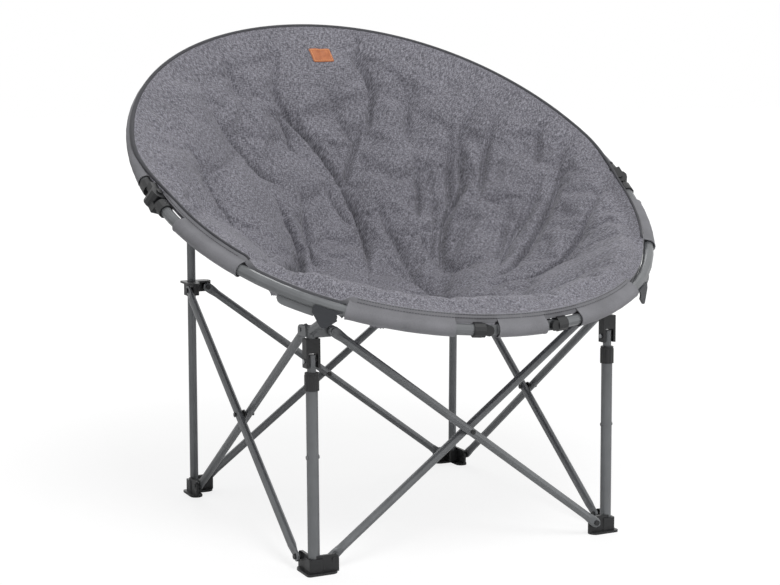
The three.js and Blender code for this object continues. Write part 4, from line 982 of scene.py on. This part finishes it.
def makePatch():
    u, v = np.meshgrid(np.linspace(0, 1, patch["columns"]), np.linspace(0, 1, patch["rows"]))
    # square corners are rounded by drawing the outer columns in near the corners
    fromSide, fromEnd = np.minimum(u, 1 - u), np.minimum(v, 1 - v)
    corner = patch["corner"]
    pull = np.clip(corner - fromEnd, 0, corner) / corner
    u = u + np.sign(0.5 - u) * (pull ** 3) * corner * 0.5 * (fromSide < 0.5)
    surface = patchPoint(u, v)
    face = np.cross(np.gradient(surface, axis=1), np.gradient(surface, axis=0))
    face /= np.linalg.norm(face, axis=-1, keepdims=True)
    face *= np.sign((face @ ringUp))[..., None]
    edge = np.minimum(fromSide * patch["wide"], fromEnd * patch["tall"])
    rise = patch["over"] + patch["thick"] * np.minimum(1, patch["edgeStart"] + edge * patch["edgeRise"]) ** 0.5
    top, bottom = surface + face * rise[..., None], surface - face * patch["over"]
    rows, columns = u.shape
    points = np.concatenate([top.reshape(-1, 3), bottom.reshape(-1, 3)]) * mm
    n = rows * columns
    faces = []
    for r in range(rows - 1):
        for k in range(columns - 1):
            a = r * columns + k
            faces.append((a, a + 1, a + columns + 1, a + columns))
            faces.append((n + a, n + a + columns, n + a + columns + 1, n + a + 1))
    rim = [k for k in range(columns)] + [r * columns + columns - 1 for r in range(1, rows)]
    rim += [(rows - 1) * columns + k for k in range(columns - 2, -1, -1)]
    rim += [r * columns for r in range(rows - 2, 0, -1)]
    for a, b in zip(rim, rim[1:] + rim[:1]):
        faces.append((a, n + a, n + b, b))
    piece = meshObject("leatherPatch", points, faces, patchLeather)
    faceOutward(piece, patch["sharp"])
    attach(piece, "arc_bl")
    foldWithQuarter(piece, "left_back")


def sewPatch():
    # a row of stitches inside the patch's edge
    middle, reach = 0.5, patch["facing"]
    side = patchPoint(np.array([middle - reach, middle + reach]), np.array([middle, middle]))
    upright = patchPoint(np.array([middle, middle]), np.array([middle - reach, middle + reach]))
    normal = np.cross(side[1] - side[0], upright[1] - upright[0])
    normal *= np.sign(normal @ ringUp) / np.linalg.norm(normal)
    inU, inV = patch["stitchSide"], patch["stitchIn"]
    corners = [(inU, inV), (1 - inU, inV), (1 - inU, 1 - inV), (inU, 1 - inV)]
    centres, ways = [], []
    for (u0, v0), (u1, v1) in zip(corners, corners[1:] + corners[:1]):
        steps = int(np.hypot((u1 - u0) * patch["wide"], (v1 - v0) * patch["tall"]) / patch["stitchPitch"])
        for k in range(steps):
            t = (k + 0.5) / steps + np.array([-patch["probe"], 0, patch["probe"]])
            before, at, after = patchPoint(u0 + (u1 - u0) * t, v0 + (v1 - v0) * t)
            centres.append(at + normal * (patch["over"] + patch["thick"]))
            ways.append(after - before)
    thread = makeStitches("patchStitches", centres, ways, [normal] * len(centres), "arc_bl", threadTan)
    foldWithQuarter(thread, "left_back")


makePatch()
sewPatch()
report("the leather patch is sewn on")

# steel strip on edge under the bare tube: degrees, then mm from the ring's line
strip = {
    "from": 40.6, "to": 48.4, "roundFrom": 46.6, "top": (4.5, -8.2), "deep": 12.5, "thick": 3.0,
    "slope": 0.48, "endDeep": 0.35,
}


def stripProfile(angle):
    # rounded at its free end
    way = np.array([strip["slope"], -math.sqrt(1 - strip["slope"] ** 2)])
    face = np.array([-way[1], way[0]]) * strip["thick"] / 2
    end = float(np.clip((abs(angle) - strip["roundFrom"]) / (strip["to"] - strip["roundFrom"]), 0, 0.999))
    deep = strip["deep"] * (strip["endDeep"] + (1 - strip["endDeep"]) * math.sqrt(1 - end ** 2))
    top = np.array(strip["top"])
    return [top - face, top + way * deep - face, top + way * deep + face, top + face]


for side, sign in (("right", -1), ("left", 1)):
    ends = onSide(sign, (strip["from"], strip["to"]))
    sweep(f"bracketStrip_{side}", *ends, stripProfile, bodies[side][0], coatGrey, "metal")
report("the bracket strips are under the ring")
